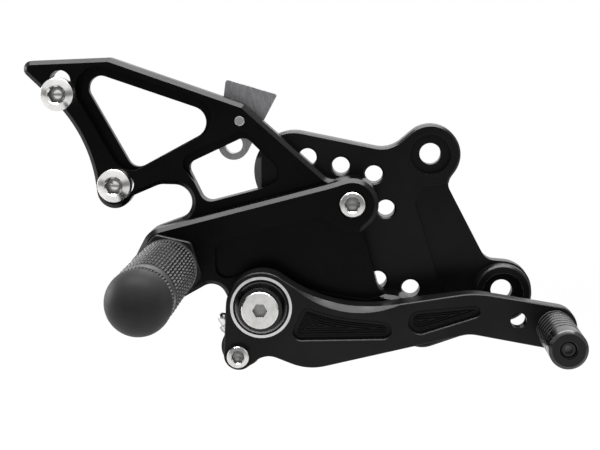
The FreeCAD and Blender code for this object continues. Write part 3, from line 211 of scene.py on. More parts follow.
class Graph(Nodes):
    """The node tree of a material or of the world."""

    def __init__(self, name: str, tree: NodeTree | None = None) -> None:
        """Start an empty tree.

        Args:
            name: Name of the material.
            tree: The world's tree; a new material is made without it.
        """
        self.output = "ShaderNodeOutputWorld"
        if tree is None:
            self.output = "ShaderNodeOutputMaterial"
            self.material = bpy.data.materials.new(name)
            self.material.use_nodes = True
            tree = self.material.node_tree
        super().__init__(tree)
        tree.nodes.clear()
        self.place = self.node("ShaderNodeTexCoord").outputs["Object"]

    def noise(self, size: float, detail: float = 2.0, place: Any = None) -> Value:
        """Noise with features of about a given size.

        Args:
            size: Feature size in metres.
            detail: Octaves of finer noise.
            place: Vector socket to read, or the object's own coordinates.

        Returns:
            The noise, about 0.5 on average.
        """
        inputs = {"Vector": place or self.place, "Scale": 1 / size, "Detail": detail}
        return Value(self, self.node("ShaderNodeTexNoise", None, inputs).outputs["Fac"])

    def attribute(self, name: str) -> Value:
        """A number written on the mesh."""
        made = self.node("ShaderNodeAttribute", {"attribute_name": name})
        return Value(self, made.outputs["Fac"])

    def scaled(self, vector: Any, factors: Triple) -> Any:
        """A vector with its coordinates multiplied by three factors."""
        settings = {"operation": "MULTIPLY"}
        return self.node("ShaderNodeVectorMath", settings, {0: vector, 1: factors}).outputs[0]

    def length(self, vector: Any) -> Value:
        """Length of a vector."""
        made = self.node("ShaderNodeVectorMath", {"operation": "LENGTH"}, {0: vector})
        return Value(self, made.outputs["Value"])

    def coordinate(self, vector: Any, axis: str) -> Value:
        """One coordinate of a vector: X, Y or Z."""
        return Value(self, self.node("ShaderNodeSeparateXYZ", None, {0: vector}).outputs[axis])

    def from_axis(self) -> tuple[Any, Value]:
        """Place relative to the piece's own axis, and the distance from that axis."""
        place = self.node("ShaderNodeAttribute", {"attribute_name": AXIS_PLACE}).outputs["Vector"]
        return place, self.length(self.scaled(place, (1, 0, 1)))

    def mix(self, share: Number, first: Any, second: Any) -> Any:
        """Blend two colours.

        Args:
            share: How much of the second colour.
            first: Colour at share 0: red, green and blue, or a socket.
            second: Colour at share 1: red, green and blue, or a socket.

        Returns:
            The colour's socket.
        """
        mixer = self.node("ShaderNodeMix", {"data_type": "RGBA"}, {0: share})
        for place, colour in ((6, first), (7, second)):
            plain = isinstance(colour, tuple)
            self.feed(mixer.inputs[place], (*colour, 1) if plain else colour)
        return mixer.outputs[2]

    def bump(self, height: Value, depth: float, strength: float = 0.5) -> Any:
        """Turn a height from 0 to 1 into a normal.

        Args:
            height: The height.
            depth: Depth of the relief in metres.
            strength: Share of the relief that shows.

        Returns:
            The normal's socket.
        """
        inputs = {"Height": height, "Distance": depth, "Strength": strength}
        return self.node("ShaderNodeBump", None, inputs).outputs["Normal"]

    def finish(self, shader: Any) -> None:
        """Send a shader to the output."""
        self.node(self.output, None, {"Surface": shader})

    def surface(self, **inputs: Any) -> None:
        """End in a Principled shader; its sockets are named with underscores for spaces."""
        named = {name.replace("_", " "): value for name, value in inputs.items()}
        self.finish(self.node("ShaderNodeBsdfPrincipled", None, named).outputs[0])


# Finishes


def grey(tone: float) -> Triple:
    """Neutral colour of a tone."""
    return (tone, tone, tone)


@dataclass(frozen=True)
class Finish:
    """What every finish has: a name and the record's slot."""

    name: str
    slot: Slot

    def paint(self, graph: Graph) -> None:
        """Fill the material's graph; each finish has its own way."""
        raise NotImplementedError

    def material(self) -> Material:
        """Find the finish's material, or make it the first time.

        Returns:
            The material.
        """
        found = bpy.data.materials.get(self.name)
        if found is None:
            graph = Graph(self.name)
            self.paint(graph)
            found = graph.material
        return found


@dataclass(frozen=True)
class BlackAnodised(Finish):
    """Blasted and black anodised aluminium."""

    tone: float
    gloss: float
    reflection: float
    cut_tone: float
    grain: float = 0.25 * MM
    cloud: float = 18 * MM
    relief: float = 0.012 * MM

    def paint(self, graph: Graph) -> None:
        """Near black, with fine blasted grain, a soft change of gloss and shinier slants.

        Args:
            graph: The material's graph.
        """
        cut = graph.attribute(CUT)
        grain = graph.noise(self.grain, 3)
        cloud = graph.noise(self.cloud, 3)
        share = (cloud * 0.6 + grain * 0.4).between(0.3, 0.7)
        plain = graph.mix(share, grey(0.6 * self.tone), grey(1.5 * self.tone))
        graph.surface(
            Base_Color=graph.mix(cut, plain, grey(self.cut_tone)),
            Metallic=cut,
            Roughness=self.gloss + (cloud - 0.5) * 0.1 + (grain - 0.5) * 0.08,
            Specular_IOR_Level=self.reflection,
            Normal=graph.bump(grain, self.relief),
        )


@dataclass(frozen=True)
class KnurledBlack(Finish):
    """Black anodised knurl, whose tips are rubbed brighter than its valleys."""

    root: float
    tip: float
    valley_tone: float = 0.002
    tip_tone: float = 0.26
    gloss: float = 0.42
    reflection: float = 0.4
    patch: float = 5 * MM
    relief: float = 0.02 * MM
    fade: Span = (0.02 * MM, 0.1 * MM)

    def paint(self, graph: Graph) -> None:
        """Tone and gloss follow the distance from the axis, with patchy rubbing.

        Args:
            graph: The material's graph.
        """
        place, radius = graph.from_axis()
        rubbing = graph.noise(self.patch, 3, place)
        beyond = radius.between(*(self.tip + edge for edge in self.fade))
        worn = radius.between(self.root, self.tip) * (rubbing * 0.8 + 0.5) * (1 - beyond)
        graph.surface(
            Base_Color=graph.mix(worn, grey(self.valley_tone), grey(self.tip_tone)),
            Metallic=0.0,
            Roughness=self.gloss - worn * 0.12,
            Specular_IOR_Level=self.reflection,
            Normal=graph.bump(rubbing, self.relief, 0.4),
        )


@dataclass(frozen=True)
class Steel(Finish):
    """Plated or ground steel with turning marks round the axis and painted shade in its socket."""

    tone: Triple = (0.78, 0.77, 0.76)
    dark: Triple = (0.55, 0.545, 0.54)
    gloss: float = 0.2
    metal: float = 1.0
    ring: float = 0.16 * MM
    ring_depth: float = 0.004 * MM
    stain: float = 3 * MM
    grain: float = 0.3 * MM
    # Tone of the painted shade inside the socket.
    socket_shade_tone: float = 0.28
    socket_edge: Span = (3.7 * MM, 3.8 * MM)
    socket_mouth: Span = (0.45 * MM, 1.2 * MM)
    socket_floor: Span = (4.2 * MM, 4.6 * MM)

    def paint(self, graph: Graph) -> None:
        """Fine rings and faint stains over a bright base, with painted shade in the socket.

        Args:
            graph: The material's graph.
        """
        place, radius = graph.from_axis()
        stain = graph.noise(self.stain, 4, place)
        fine = graph.noise(self.grain, 2, place)
        wave = (radius * (2 * math.pi / self.ring) + fine * 4).sine() * 0.5 + 0.5
        depth = graph.coordinate(place, "Y")
        # Painted shade: the base colour darkens inside the socket's hollow, where shade falls.
        inside = 1 - radius.between(*self.socket_edge)
        sunk = depth.between(*self.socket_mouth) * (1 - depth.between(*self.socket_floor))
        painted_shade = inside * sunk * (fine * 0.6 + 0.6)
        unshaded_base = graph.mix(stain.between(0.35, 0.75) * 0.5, self.tone, self.dark)
        graph.surface(
            Base_Color=graph.mix(painted_shade, unshaded_base, grey(self.socket_shade_tone)),
            Metallic=self.metal,
            Roughness=self.gloss + (stain - 0.5) * 0.08 + wave * 0.04 + painted_shade * 0.2,
            Normal=graph.bump(wave, self.ring_depth),
        )


@dataclass(frozen=True)
class TabAluminium(Finish):
    """Clear anodised aluminium, lightly brushed."""

    dark: Triple = (0.30, 0.30, 0.31)
    light: Triple = (0.42, 0.42, 0.43)
    metal: float = 0.85
    gloss: float = 0.38
    grain: float = 0.35 * MM
    cloud: float = 9 * MM
    relief: float = 0.012 * MM

    def paint(self, graph: Graph) -> None:
        """Grey metal with a brushed grain that runs along the tab.

        Args:
            graph: The material's graph.
        """
        brush = graph.noise(self.grain, 3, graph.scaled(graph.place, (1, 1, 0.12)))
        cloud = graph.noise(self.cloud, 2)
        graph.surface(
            Base_Color=graph.mix(brush.between(0.3, 0.7), self.dark, self.light),
            Metallic=self.metal,
            Roughness=self.gloss + (cloud - 0.5) * 0.15,
            Normal=graph.bump(brush, self.relief),
        )


@dataclass(frozen=True)
class MattePlastic(Finish):
    """Moulded plastic or rubber with a fine spark-eroded texture."""

    tone: float = 0.03
    gloss: float = 0.5
    reflection: float = 0.16
    grain: float = 0.35 * MM
    cloud: float = 7 * MM
    scuff: float = 2.2 * MM
    relief: float = 0.02 * MM

    def paint(self, graph: Graph) -> None:
        """Dark grey with grain, faint scuffs and cloudy gloss.

        Args:
            graph: The material's graph.
        """
        grain = graph.noise(self.grain, 3)
        cloud = graph.noise(self.cloud, 4)
        scuff = graph.noise(self.scuff, 6).between(0.58, 0.72)
        share = cloud * 0.7 + scuff * 0.3
        graph.surface(
            Base_Color=graph.mix(share, grey(0.72 * self.tone), grey(1.35 * self.tone)),
            Roughness=self.gloss + (cloud - 0.5) * 0.12 + scuff * 0.06,
            Specular_IOR_Level=self.reflection,
            Normal=graph.bump(grain, self.relief, 0.6),
        )


# The numbers of a black finish are its tone, gloss, reflection and the tone of its slants.
PLATE_BLACK = BlackAnodised("plate_black", Slot.BLACK, 0.004, 0.3, 0.2, 0.03)
HANGER_BLACK = BlackAnodised("hanger_black", Slot.BLACK, 0.0028, 0.28, 0.1, 0.021)
LEVER_BLACK = BlackAnodised("lever_black", Slot.BLACK, 0.008, 0.32, 0.17, 0.026)
WASHER_BLACK = BlackAnodised("washer_black", Slot.BLACK, 0.004, 0.2, 0.4, 0.04)
TOE_BLACK = BlackAnodised("toe_black", Slot.KNURLED, 0.005, 0.22, 0.28, 0.06)
BRIGHT_STEEL = Steel("bright_plate", Slot.BRIGHT)
GROUND_STEEL = Steel("ground_race", Slot.RACE, grey(0.7), grey(0.55), 0.16)
DARK_STEEL = Steel("dark_oxide", Slot.DARK, (0.03, 0.03, 0.032), (0.015, 0.015, 0.016), 0.3, 0.6)
TAB_GREY = TabAluminium("tab_grey", Slot.TAB)
CAP_GREY = MattePlastic("cap_grey", Slot.CAP)
SEAL_BLACK = MattePlastic("seal_black", Slot.RUBBER, tone=0.012, reflection=0.35)


# Meshes


def axis_of(node: str) -> Vector:
    """Middle of a node's box, which lies on the axis of a turned piece."""
    low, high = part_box(node)
    return (low + high) / 2


def note_places(mesh: Mesh, front: Vector) -> None:
    """Write what the finishes read: places from the axis, and which faces are slanted cuts.

    Args:
        mesh: The finished mesh.
        front: Where the axis leaves the front.
    """
    places = mesh.attributes.new(AXIS_PLACE, "FLOAT_VECTOR", "POINT")
    for vertex, item in zip(mesh.vertices, places.data):
        item.vector = vertex.co - front
    cuts = mesh.attributes.new(CUT, "FLOAT", "FACE")
    for face, item in zip(mesh.polygons, cuts.data):
        item.value = float(CUT_LEANS[0] < abs(face.normal.y) < CUT_LEANS[1])


def smooth_by_angle(mesh: Mesh) -> None:
    """Shade smooth, apart from the sharper edges."""
    mesh.polygons.foreach_set("use_smooth", [True] * len(mesh.polygons))
    mesh.set_sharp_from_angle(angle=SMOOTH_UNDER)


def link(name: str, data: ID) -> Object:
    """Put a mesh, lamp or camera in the scene.

    Args:
        name: Name of the object.
        data: What the object shows.

    Returns:
        The new object.
    """
    made = bpy.data.objects.new(name, data)
    bpy.context.scene.collection.objects.link(made)
    return made


def settled(piece: Object) -> Mesh:
    """Apply an object's modifiers and remove them.

    Args:
        piece: The object.

    Returns:
        Its plain mesh.
    """
    bpy.context.view_layer.update()
    evaluated = piece.evaluated_get(bpy.context.evaluated_depsgraph_get())
    mesh = bpy.data.meshes.new_from_object(evaluated)
    piece.modifiers.clear()
    return mesh


def even_shading(piece: Object) -> None:
    """Let wide faces shade flat and leave the turn of the normal to the fine rounds.

    Args:
        piece: The object, whose mesh is replaced.
    """
    smooth_by_angle(piece.data)
    even = piece.modifiers.new("even_shading", "WEIGHTED_NORMAL")
    even.keep_sharp = True
    piece.data = settled(piece)


def mesh_of(work: bmesh.types.BMesh, name: str) -> Mesh:
    """Turn worked geometry into a mesh and free it.

    Args:
        work: The geometry.
        name: Name of the mesh.

    Returns:
        The new mesh.
    """
    mesh = bpy.data.meshes.new(name)
    work.to_mesh(mesh)
    work.free()
    return mesh


def merged_copy(node: str) -> Mesh:
    """Join a node's triangles at their edges and make flat areas one face.

    Args:
        node: The CAD node.

    Returns:
        A new mesh.
    """
    work = bmesh.new()
    work.from_mesh(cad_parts[node].data)
    bmesh.ops.remove_doubles(work, verts=work.verts, dist=WELD)
    bmesh.ops.dissolve_limit(work, angle_limit=FLAT_WITHIN, verts=work.verts, edges=work.edges)
    return mesh_of(work, node)


def joined(name: str, *meshes: Mesh) -> Mesh:
    """Make one mesh from several.

    Args:
        name: Name of the whole.
        meshes: The meshes, which are kept.

    Returns:
        The whole.
    """
    work = bmesh.new()
    for mesh in meshes:
        work.from_mesh(mesh)
    return mesh_of(work, name)


def edged_copy(node: str, rounding: float,
               mesh: Mesh | None = None) -> Object:
    """Copy a node and break its sharp edges by a fine round.

    Args:
        node: The CAD node.
        rounding: Width of the broken edge, or 0 to leave the edges sharp.
        mesh: Mesh to start from, or the node's own.

    Returns:
        The new object.
    """
    piece = link(node + "_finished", mesh or merged_copy(node))
    if rounding > 0:
        bevel = piece.modifiers.new("broken_edge", "BEVEL")
        bevel.width = rounding
        bevel.segments = 2
        bevel.limit_method = "ANGLE"
        bevel.angle_limit = BROKEN_OVER
        bevel.loop_slide = False
        bevel.use_clamp_overlap = True
        piece.data = settled(piece)
    even_shading(piece)
    return piece


def hand_over(piece: Object, finish: Finish, body: str, *nodes: str) -> None:
    """Give a piece its finish and its body, and hide the nodes that it stands for.

    Args:
        piece: The finished object, with its place in its mesh.
        finish: What it is finished in.
        body: The body that it moves with.
        nodes: CAD nodes that it replaces.
    """
    piece.data.materials.clear()
    piece.data.materials.append(finish.material())
    front = axis_of(nodes[0])
    front.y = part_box(nodes[0])[0].y
    note_places(piece.data, front)
    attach(piece, body)
    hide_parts(*nodes)
    LOG.info("%s: %d faces, %s", piece.name, len(piece.data.polygons), finish.name)


def dress(node: str, finish: Finish, body: str, rounding: float = 0.12 * MM) -> None:
    """Stand a finished copy in for a CAD node, with its edges broken by the rounding."""
    hand_over(edged_copy(node, rounding), finish, body, node)


@dataclass(frozen=True)
class Hexagon:
    """Ring of a turned mesh that is a hexagon, its corners cut back to a circle."""

    flats: float
    turn: float = 0.0
    limit: float = 1.0

    def reach(self, angle: float) -> float:
        """Distance from the axis to the ring in a direction, in radians."""
        away = (angle - math.radians(self.turn)) % SIXTH - 0.5 * SIXTH
        return min(0.5 * self.flats / math.cos(away), self.limit)


def turned_mesh(name: str, profile: Sequence[tuple[float | Hexagon, float]], axis: Vector,
                segments: int) -> Mesh:
    """Turn a profile about a line along Y.

    Args:
        name: Name of the mesh.
        profile: Radius or hexagon, and Y, of each corner; the ends lie on the axis.
        axis: A point on the line.
        segments: Faces round the circle.

    Returns:
        A closed mesh.
    """
    work = bmesh.new()
    rings = []
    for shape, y in profile:
        if shape == 0:
            rings.append([work.verts.new((axis.x, y, axis.z))])
            continue
        ring = []
        for step in range(segments):
            angle = 2 * math.pi * step / segments
            reach = shape.reach(angle) if isinstance(shape, Hexagon) else shape
            place = (axis.x + reach * math.cos(angle), y, axis.z + reach * math.sin(angle))
            ring.append(work.verts.new(place))
        rings.append(ring)
    for first, second in zip(rings, rings[1:]):
        for step in range(segments):
            after = (step + 1) % segments
            corners = [first[step % len(first)], first[after % len(first)],
                       second[after % len(second)], second[step % len(second)]]
            work.faces.new(list(dict.fromkeys(corners)))
    bmesh.ops.recalc_face_normals(work, faces=work.faces)
    return mesh_of(work, name)


def close_grid(work: bmesh.types.BMesh, grid: dict[tuple[int, int], tuple[Any, Any]]) -> None:
    """Span faces over a grid's upper and lower points and close its rim.

    Args:
        work: The geometry that holds the points.
        grid: Upper and lower point by column and row.
    """
    for column, row in grid:
        ring = [grid.get((column + x, row + z)) for x, z in ((0, 0), (1, 0), (1, 1), (0, 1))]
        if None not in ring:
            work.faces.new([corner[0] for corner in ring])
            work.faces.new([corner[1] for corner in reversed(ring)])
    under_of = dict(grid.values())
    for side in [edge for edge in work.edges if edge.is_boundary]:
        first, second = side.verts
        if first in under_of and second in under_of:
            work.faces.new([first, second, under_of[second], under_of[first]])
    loose = [point for point in work.verts if not point.link_faces]
    bmesh.ops.delete(work, geom=loose, context="VERTS")
    bmesh.ops.recalc_face_normals(work, faces=work.faces)


# Geometry Nodes


class Tree(Nodes):
    """A Geometry Nodes tree that makes a mesh from named sizes."""

    def __init__(self, name: str) -> None:
        """Start a tree with one geometry output.

        Args:
            name: Name of the node group.
        """
        super().__init__(bpy.data.node_groups.new(name, "GeometryNodeTree"))
        face = self.tree.interface
        face.new_socket("Geometry", in_out="OUTPUT", socket_type="NodeSocketGeometry")
        self.inputs = self.node("NodeGroupInput")
        self.output = self.node("NodeGroupOutput")

    def size(self, name: str, kind: str = "Float") -> Value:
        """Add a named input and return it as a value inside the tree."""
        self.tree.interface.new_socket(name, in_out="INPUT", socket_type="NodeSocket" + kind)
        return Value(self, self.inputs.outputs[name])

    def vector(self, x: Any, y: Any, z: Any) -> NodeSocket:
        """Join three numbers to a vector."""
        return self.node("ShaderNodeCombineXYZ", None, {0: x, 1: y, 2: z}).outputs[0]

    def end(self, geometry: NodeSocket, material: Value) -> None:
        """Realise the instances, set the material and finish the tree.

        Args:
            geometry: What the tree made.
            material: The material's input.
        """
        real = self.node("GeometryNodeRealizeInstances", None, {"Geometry": geometry})
        painted = self.node("GeometryNodeSetMaterial", None,
                            {"Geometry": real.outputs[0], "Material": material})
        self.feed(self.output.inputs[0], painted.outputs[0])

    def grow(self, name: str, **sizes: Any) -> Mesh:
        """Run the tree.

        Args:
            name: Name of the result.
            sizes: Values of the named inputs, with spaces written as underscores.

        Returns:
            The plain mesh.
        """
        seed = link(name + "_seed", bpy.data.meshes.new(name))
        modifier = seed.modifiers.new(name, "NODES")
        modifier.node_group = self.tree
        for item in self.tree.interface.items_tree:
            key = item.name.replace(" ", "_")
            if item.in_out == "INPUT" and key in sizes:
                modifier[item.identifier] = sizes[key]
        mesh = settled(seed)
        bpy.data.objects.remove(seed)
        return mesh


def knurl_tree() -> Tree:
    """Make the knurl's tree: rings of four-sided points round a barrel along Y.

    Returns:
        The tree.
    """
    tree = Tree("diamond_knurl")
    radius, depth, start, step = (tree.size(n) for n in ("Radius", "Depth", "Start", "Row Step"))
    columns = tree.size("Columns", "Int")
    rows = tree.size("Rows", "Int")
    material = tree.size("Material", "Material")
    index = Value(tree, tree.node("GeometryNodeInputIndex").outputs[0])
    row = tree.math("FLOOR", index / columns)
    column = index - row * columns
    shallow = tree.math("GREATER_THAN", tree.math("MODULO", row, KNURL_RINGS), KNURL_DEEP)
    pitch = 2 * math.pi / columns
    angle = column * pitch
    root = radius - depth
    place = tree.vector(root * tree.math("COSINE", angle), start - (row + 1.0) * step,
                        root * angle.sine())
    points = tree.node("GeometryNodePoints", None, {"Count": columns * rows, "Position": place})
    tooth = tree.node(
        "GeometryNodeMeshCone",
        {"fill_type": "NGON"},
        {"Vertices": 4, "Radius Top": 0.0, "Radius Bottom": 1.0, "Depth": 1.0},
    )
    teeth = tree.node(
        "GeometryNodeInstanceOnPoints",
        None,
        {
            "Points": points.outputs[0],
            "Instance": tooth.outputs[0],
            "Rotation": tree.vector(0.0, math.pi / 2 - angle, 0.0),
            "Scale": tree.vector(root * pitch * 0.5, step * 0.5,
                                 depth * (1.0 - shallow * KNURL_LACK)),
        },
    )
    tree.end(teeth.outputs[0], material)
    return tree


def thread_tree() -> Tree:
    """Make the screw thread's tree: a three-sided ridge wound round the Y axis.

    Returns:
        The tree.
    """
    tree = Tree("screw_thread")
    radius, pitch, length = (tree.size(name) for name in ("Radius", "Pitch", "Length"))
    material = tree.size("Material", "Material")
    ridge = pitch * 0.5
    middle = radius - ridge
    helix = tree.node(
        "GeometryNodeCurveSpiral",
        None,
        {"Resolution": 32, "Rotations": length / pitch, "Start Radius": middle,
         "End Radius": middle, "Height": length},
    )
    section = tree.node("GeometryNodeCurvePrimitiveCircle", {"mode": "RADIUS"},
                        {"Resolution": 3, "Radius": ridge})
    wound = tree.node("GeometryNodeCurveToMesh", None,
                      {"Curve": helix.outputs[0], "Profile Curve": section.outputs[0],
                       "Fill Caps": True})
    turned = tree.node("GeometryNodeTransform", None,
                       {"Geometry": wound.outputs[0], "Rotation": (math.pi / 2, 0.0, 0.0)})
    tree.end(turned.outputs[0], material)
    return tree


# Sub-assemblies


@dataclass
class Plates:
    """Frame plate, hanger plate and the tab behind the arm."""

    rounding: float = 0.14 * MM

    def build(self) -> None:
        """Dress the three fixed plates."""
        dress("frame_plate", PLATE_BLACK, "root", self.rounding)
        dress("hanger_plate", HANGER_BLACK, "root", self.rounding)
        dress("hose_tab", TAB_GREY, "root", self.rounding)


@dataclass
class Lever:
    """Brake lever with its stop, toe peg and the toe peg's screw.

    The pocket floors carry contour lines: raised bands with grooves between them, laid out on
    a grid of cells. The crest is the stretch of the top edge whose slant has a thin lip.
    """

    rounding: float = 0.14 * MM
    peg_rounding: float = 0.1 * MM
    small_rounding: float = 0.05 * MM
    same_place: float = 0.01 * MM
    pocket_depth: float = 3.6 * MM
    least_floor: float = 20 * MM * MM
    cell: float = 0.15 * MM
    margin: float = 0.5 * MM
    pitch: float = 0.9 * MM
    groove: float = 0.42 * MM
    groove_sink: float = 0.1 * MM
    rise: float = 0.8 * MM
    band_root: float = 0.3 * MM
    crest_start: float = -42.0 * MM
    crest_end: float = -24.0 * MM
    crest_low: float = -57.3 * MM
    crest_high: float = -53.0 * MM
    slant_depth: float = 2.3 * MM
    lip_least: float = 0.02 * MM
    lip_upright: float = 0.9
    lip_lean: float = 0.1

    def trim_crest(self, mesh: Mesh) -> None:
        """Draw a thin lip over the slanted top edge back to where the slant begins.

        Args:
            mesh: The lever's mesh, changed in place.
        """
        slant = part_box("brake_lever")[0].y + self.slant_depth
        work = bmesh.new()
        work.from_mesh(mesh)
        lip = set()
        for face in work.faces:
            if abs(face.normal.z) > self.lip_upright and abs(face.normal.y) < self.lip_lean:
                lip.update(point for point in face.verts
                           if self.crest_start < point.co.x < self.crest_end
                           and self.crest_low < point.co.z < self.crest_high
                           and point.co.y < slant - self.lip_least)
        for point in lip:
            point.co.y = slant
        LOG.info("crest: %d points drawn back", len(lip))
        bmesh.ops.remove_doubles(work, verts=work.verts, dist=self.lip_least)
        bmesh.ops.dissolve_degenerate(work, dist=self.same_place, edges=work.edges)
        work.to_mesh(mesh)
        work.free()

    def edge_points(self, outline: list[Vector]) -> KDTree:
        """Set points closely along a floor's edge, to measure the way to it.

        Args:
            outline: Corners of the floor, in order.

        Returns:
            A search tree of the points.
        """
        samples = []
        for first, second in zip(outline, outline[1:] + outline[:1]):
            steps = max(1, math.ceil((second - first).length / self.cell))
            samples += [first.lerp(second, step / steps) for step in range(steps)]
        edge = KDTree(len(samples))
        for number, sample in enumerate(samples):
            edge.insert(sample, number)
        edge.balance()
        return edge

    def relief(self, outline: list[Vector]) -> Mesh:
        """Raise the contour lines that the cutter left on a pocket's floor.

        Args:
            outline: Corners of the floor, in order.

        Returns:
            A closed mesh: raised bands that follow the outline inward.
        """
        edge = self.edge_points(outline)
        area = BVHTree.FromPolygons(outline, [list(range(len(outline)))])
        back = Vector((0, 1, 0))
        across = [point.x for point in outline]
        upward = [point.z for point in outline]
        low_x, low_z = min(across), min(upward)
        work = bmesh.new()
        grid = {}
        for column in range(int((max(across) - low_x) / self.cell) + 2):
            for row in range(int((max(upward) - low_z) / self.cell) + 2):
                place = Vector((low_x + column * self.cell, outline[0].y, low_z + row * self.cell))
                inward = edge.find(place)[2] - self.margin
                if inward < 0 or area.ray_cast(place - back * MM, back)[0] is None:
                    continue
                sunk = inward < self.cell or inward % self.pitch > self.pitch - self.groove
                top = work.verts.new(place)
                top.co.y += self.groove_sink if sunk else -self.rise
                under = work.verts.new(place)
                under.co.y += self.band_root
                grid[column, row] = (top, under)
        close_grid(work, grid)
        return mesh_of(work, "relief")

    def build_lever(self) -> None:
        """Break the lever's edges and lay the contour lines on its pockets' floors."""
        plain = merged_copy("brake_lever")
        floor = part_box("brake_lever")[0].y + self.pocket_depth
        parts = []
        for face in plain.polygons:
            outline = [plain.vertices[number].co.copy() for number in face.vertices]
            level = all(abs(point.y - floor) < self.same_place for point in outline)
            if level and face.area > self.least_floor:
                LOG.info("pocket floor: %d corners", len(outline))
                parts.append(self.relief(outline))
        self.trim_crest(plain)
        piece = edged_copy("brake_lever", self.rounding, plain)
        piece.data = joined("brake_lever", piece.data, *parts)
        even_shading(piece)
        hand_over(piece, LEVER_BLACK, "brake_lever", "brake_lever")

    def build(self) -> None:
        """Build the lever and dress what is fixed to it and what stops it."""
        self.build_lever()
        dress("toe_peg", TOE_BLACK, "brake_lever", self.peg_rounding)
        dress("toe_peg_screw", DARK_STEEL, "brake_lever", self.small_rounding)
        dress("stop_pin", BRIGHT_STEEL, "root", self.small_rounding)


@dataclass
class PivotBearing:
    """Sleeve, races, seals, washer and bolt in the lever's hub."""

    rounding: float = 0.08 * MM

    def build(self) -> None:
        """Dress the pieces of the pivot, from the back to the front."""
        dress("pivot_sleeve", BRIGHT_STEEL, "root", self.rounding)
        for side in ("rear", "front"):
            dress(f"outer_race_{side}", GROUND_STEEL, "brake_lever", self.rounding)
            dress(f"inner_race_{side}", GROUND_STEEL, "root", self.rounding)
            dress(f"bearing_seal_{side}", SEAL_BLACK, "brake_lever", 0.0)
        dress("pivot_washer", WASHER_BLACK, "root", self.rounding)
        dress("pivot_bolt", BRIGHT_STEEL, "root", self.rounding)


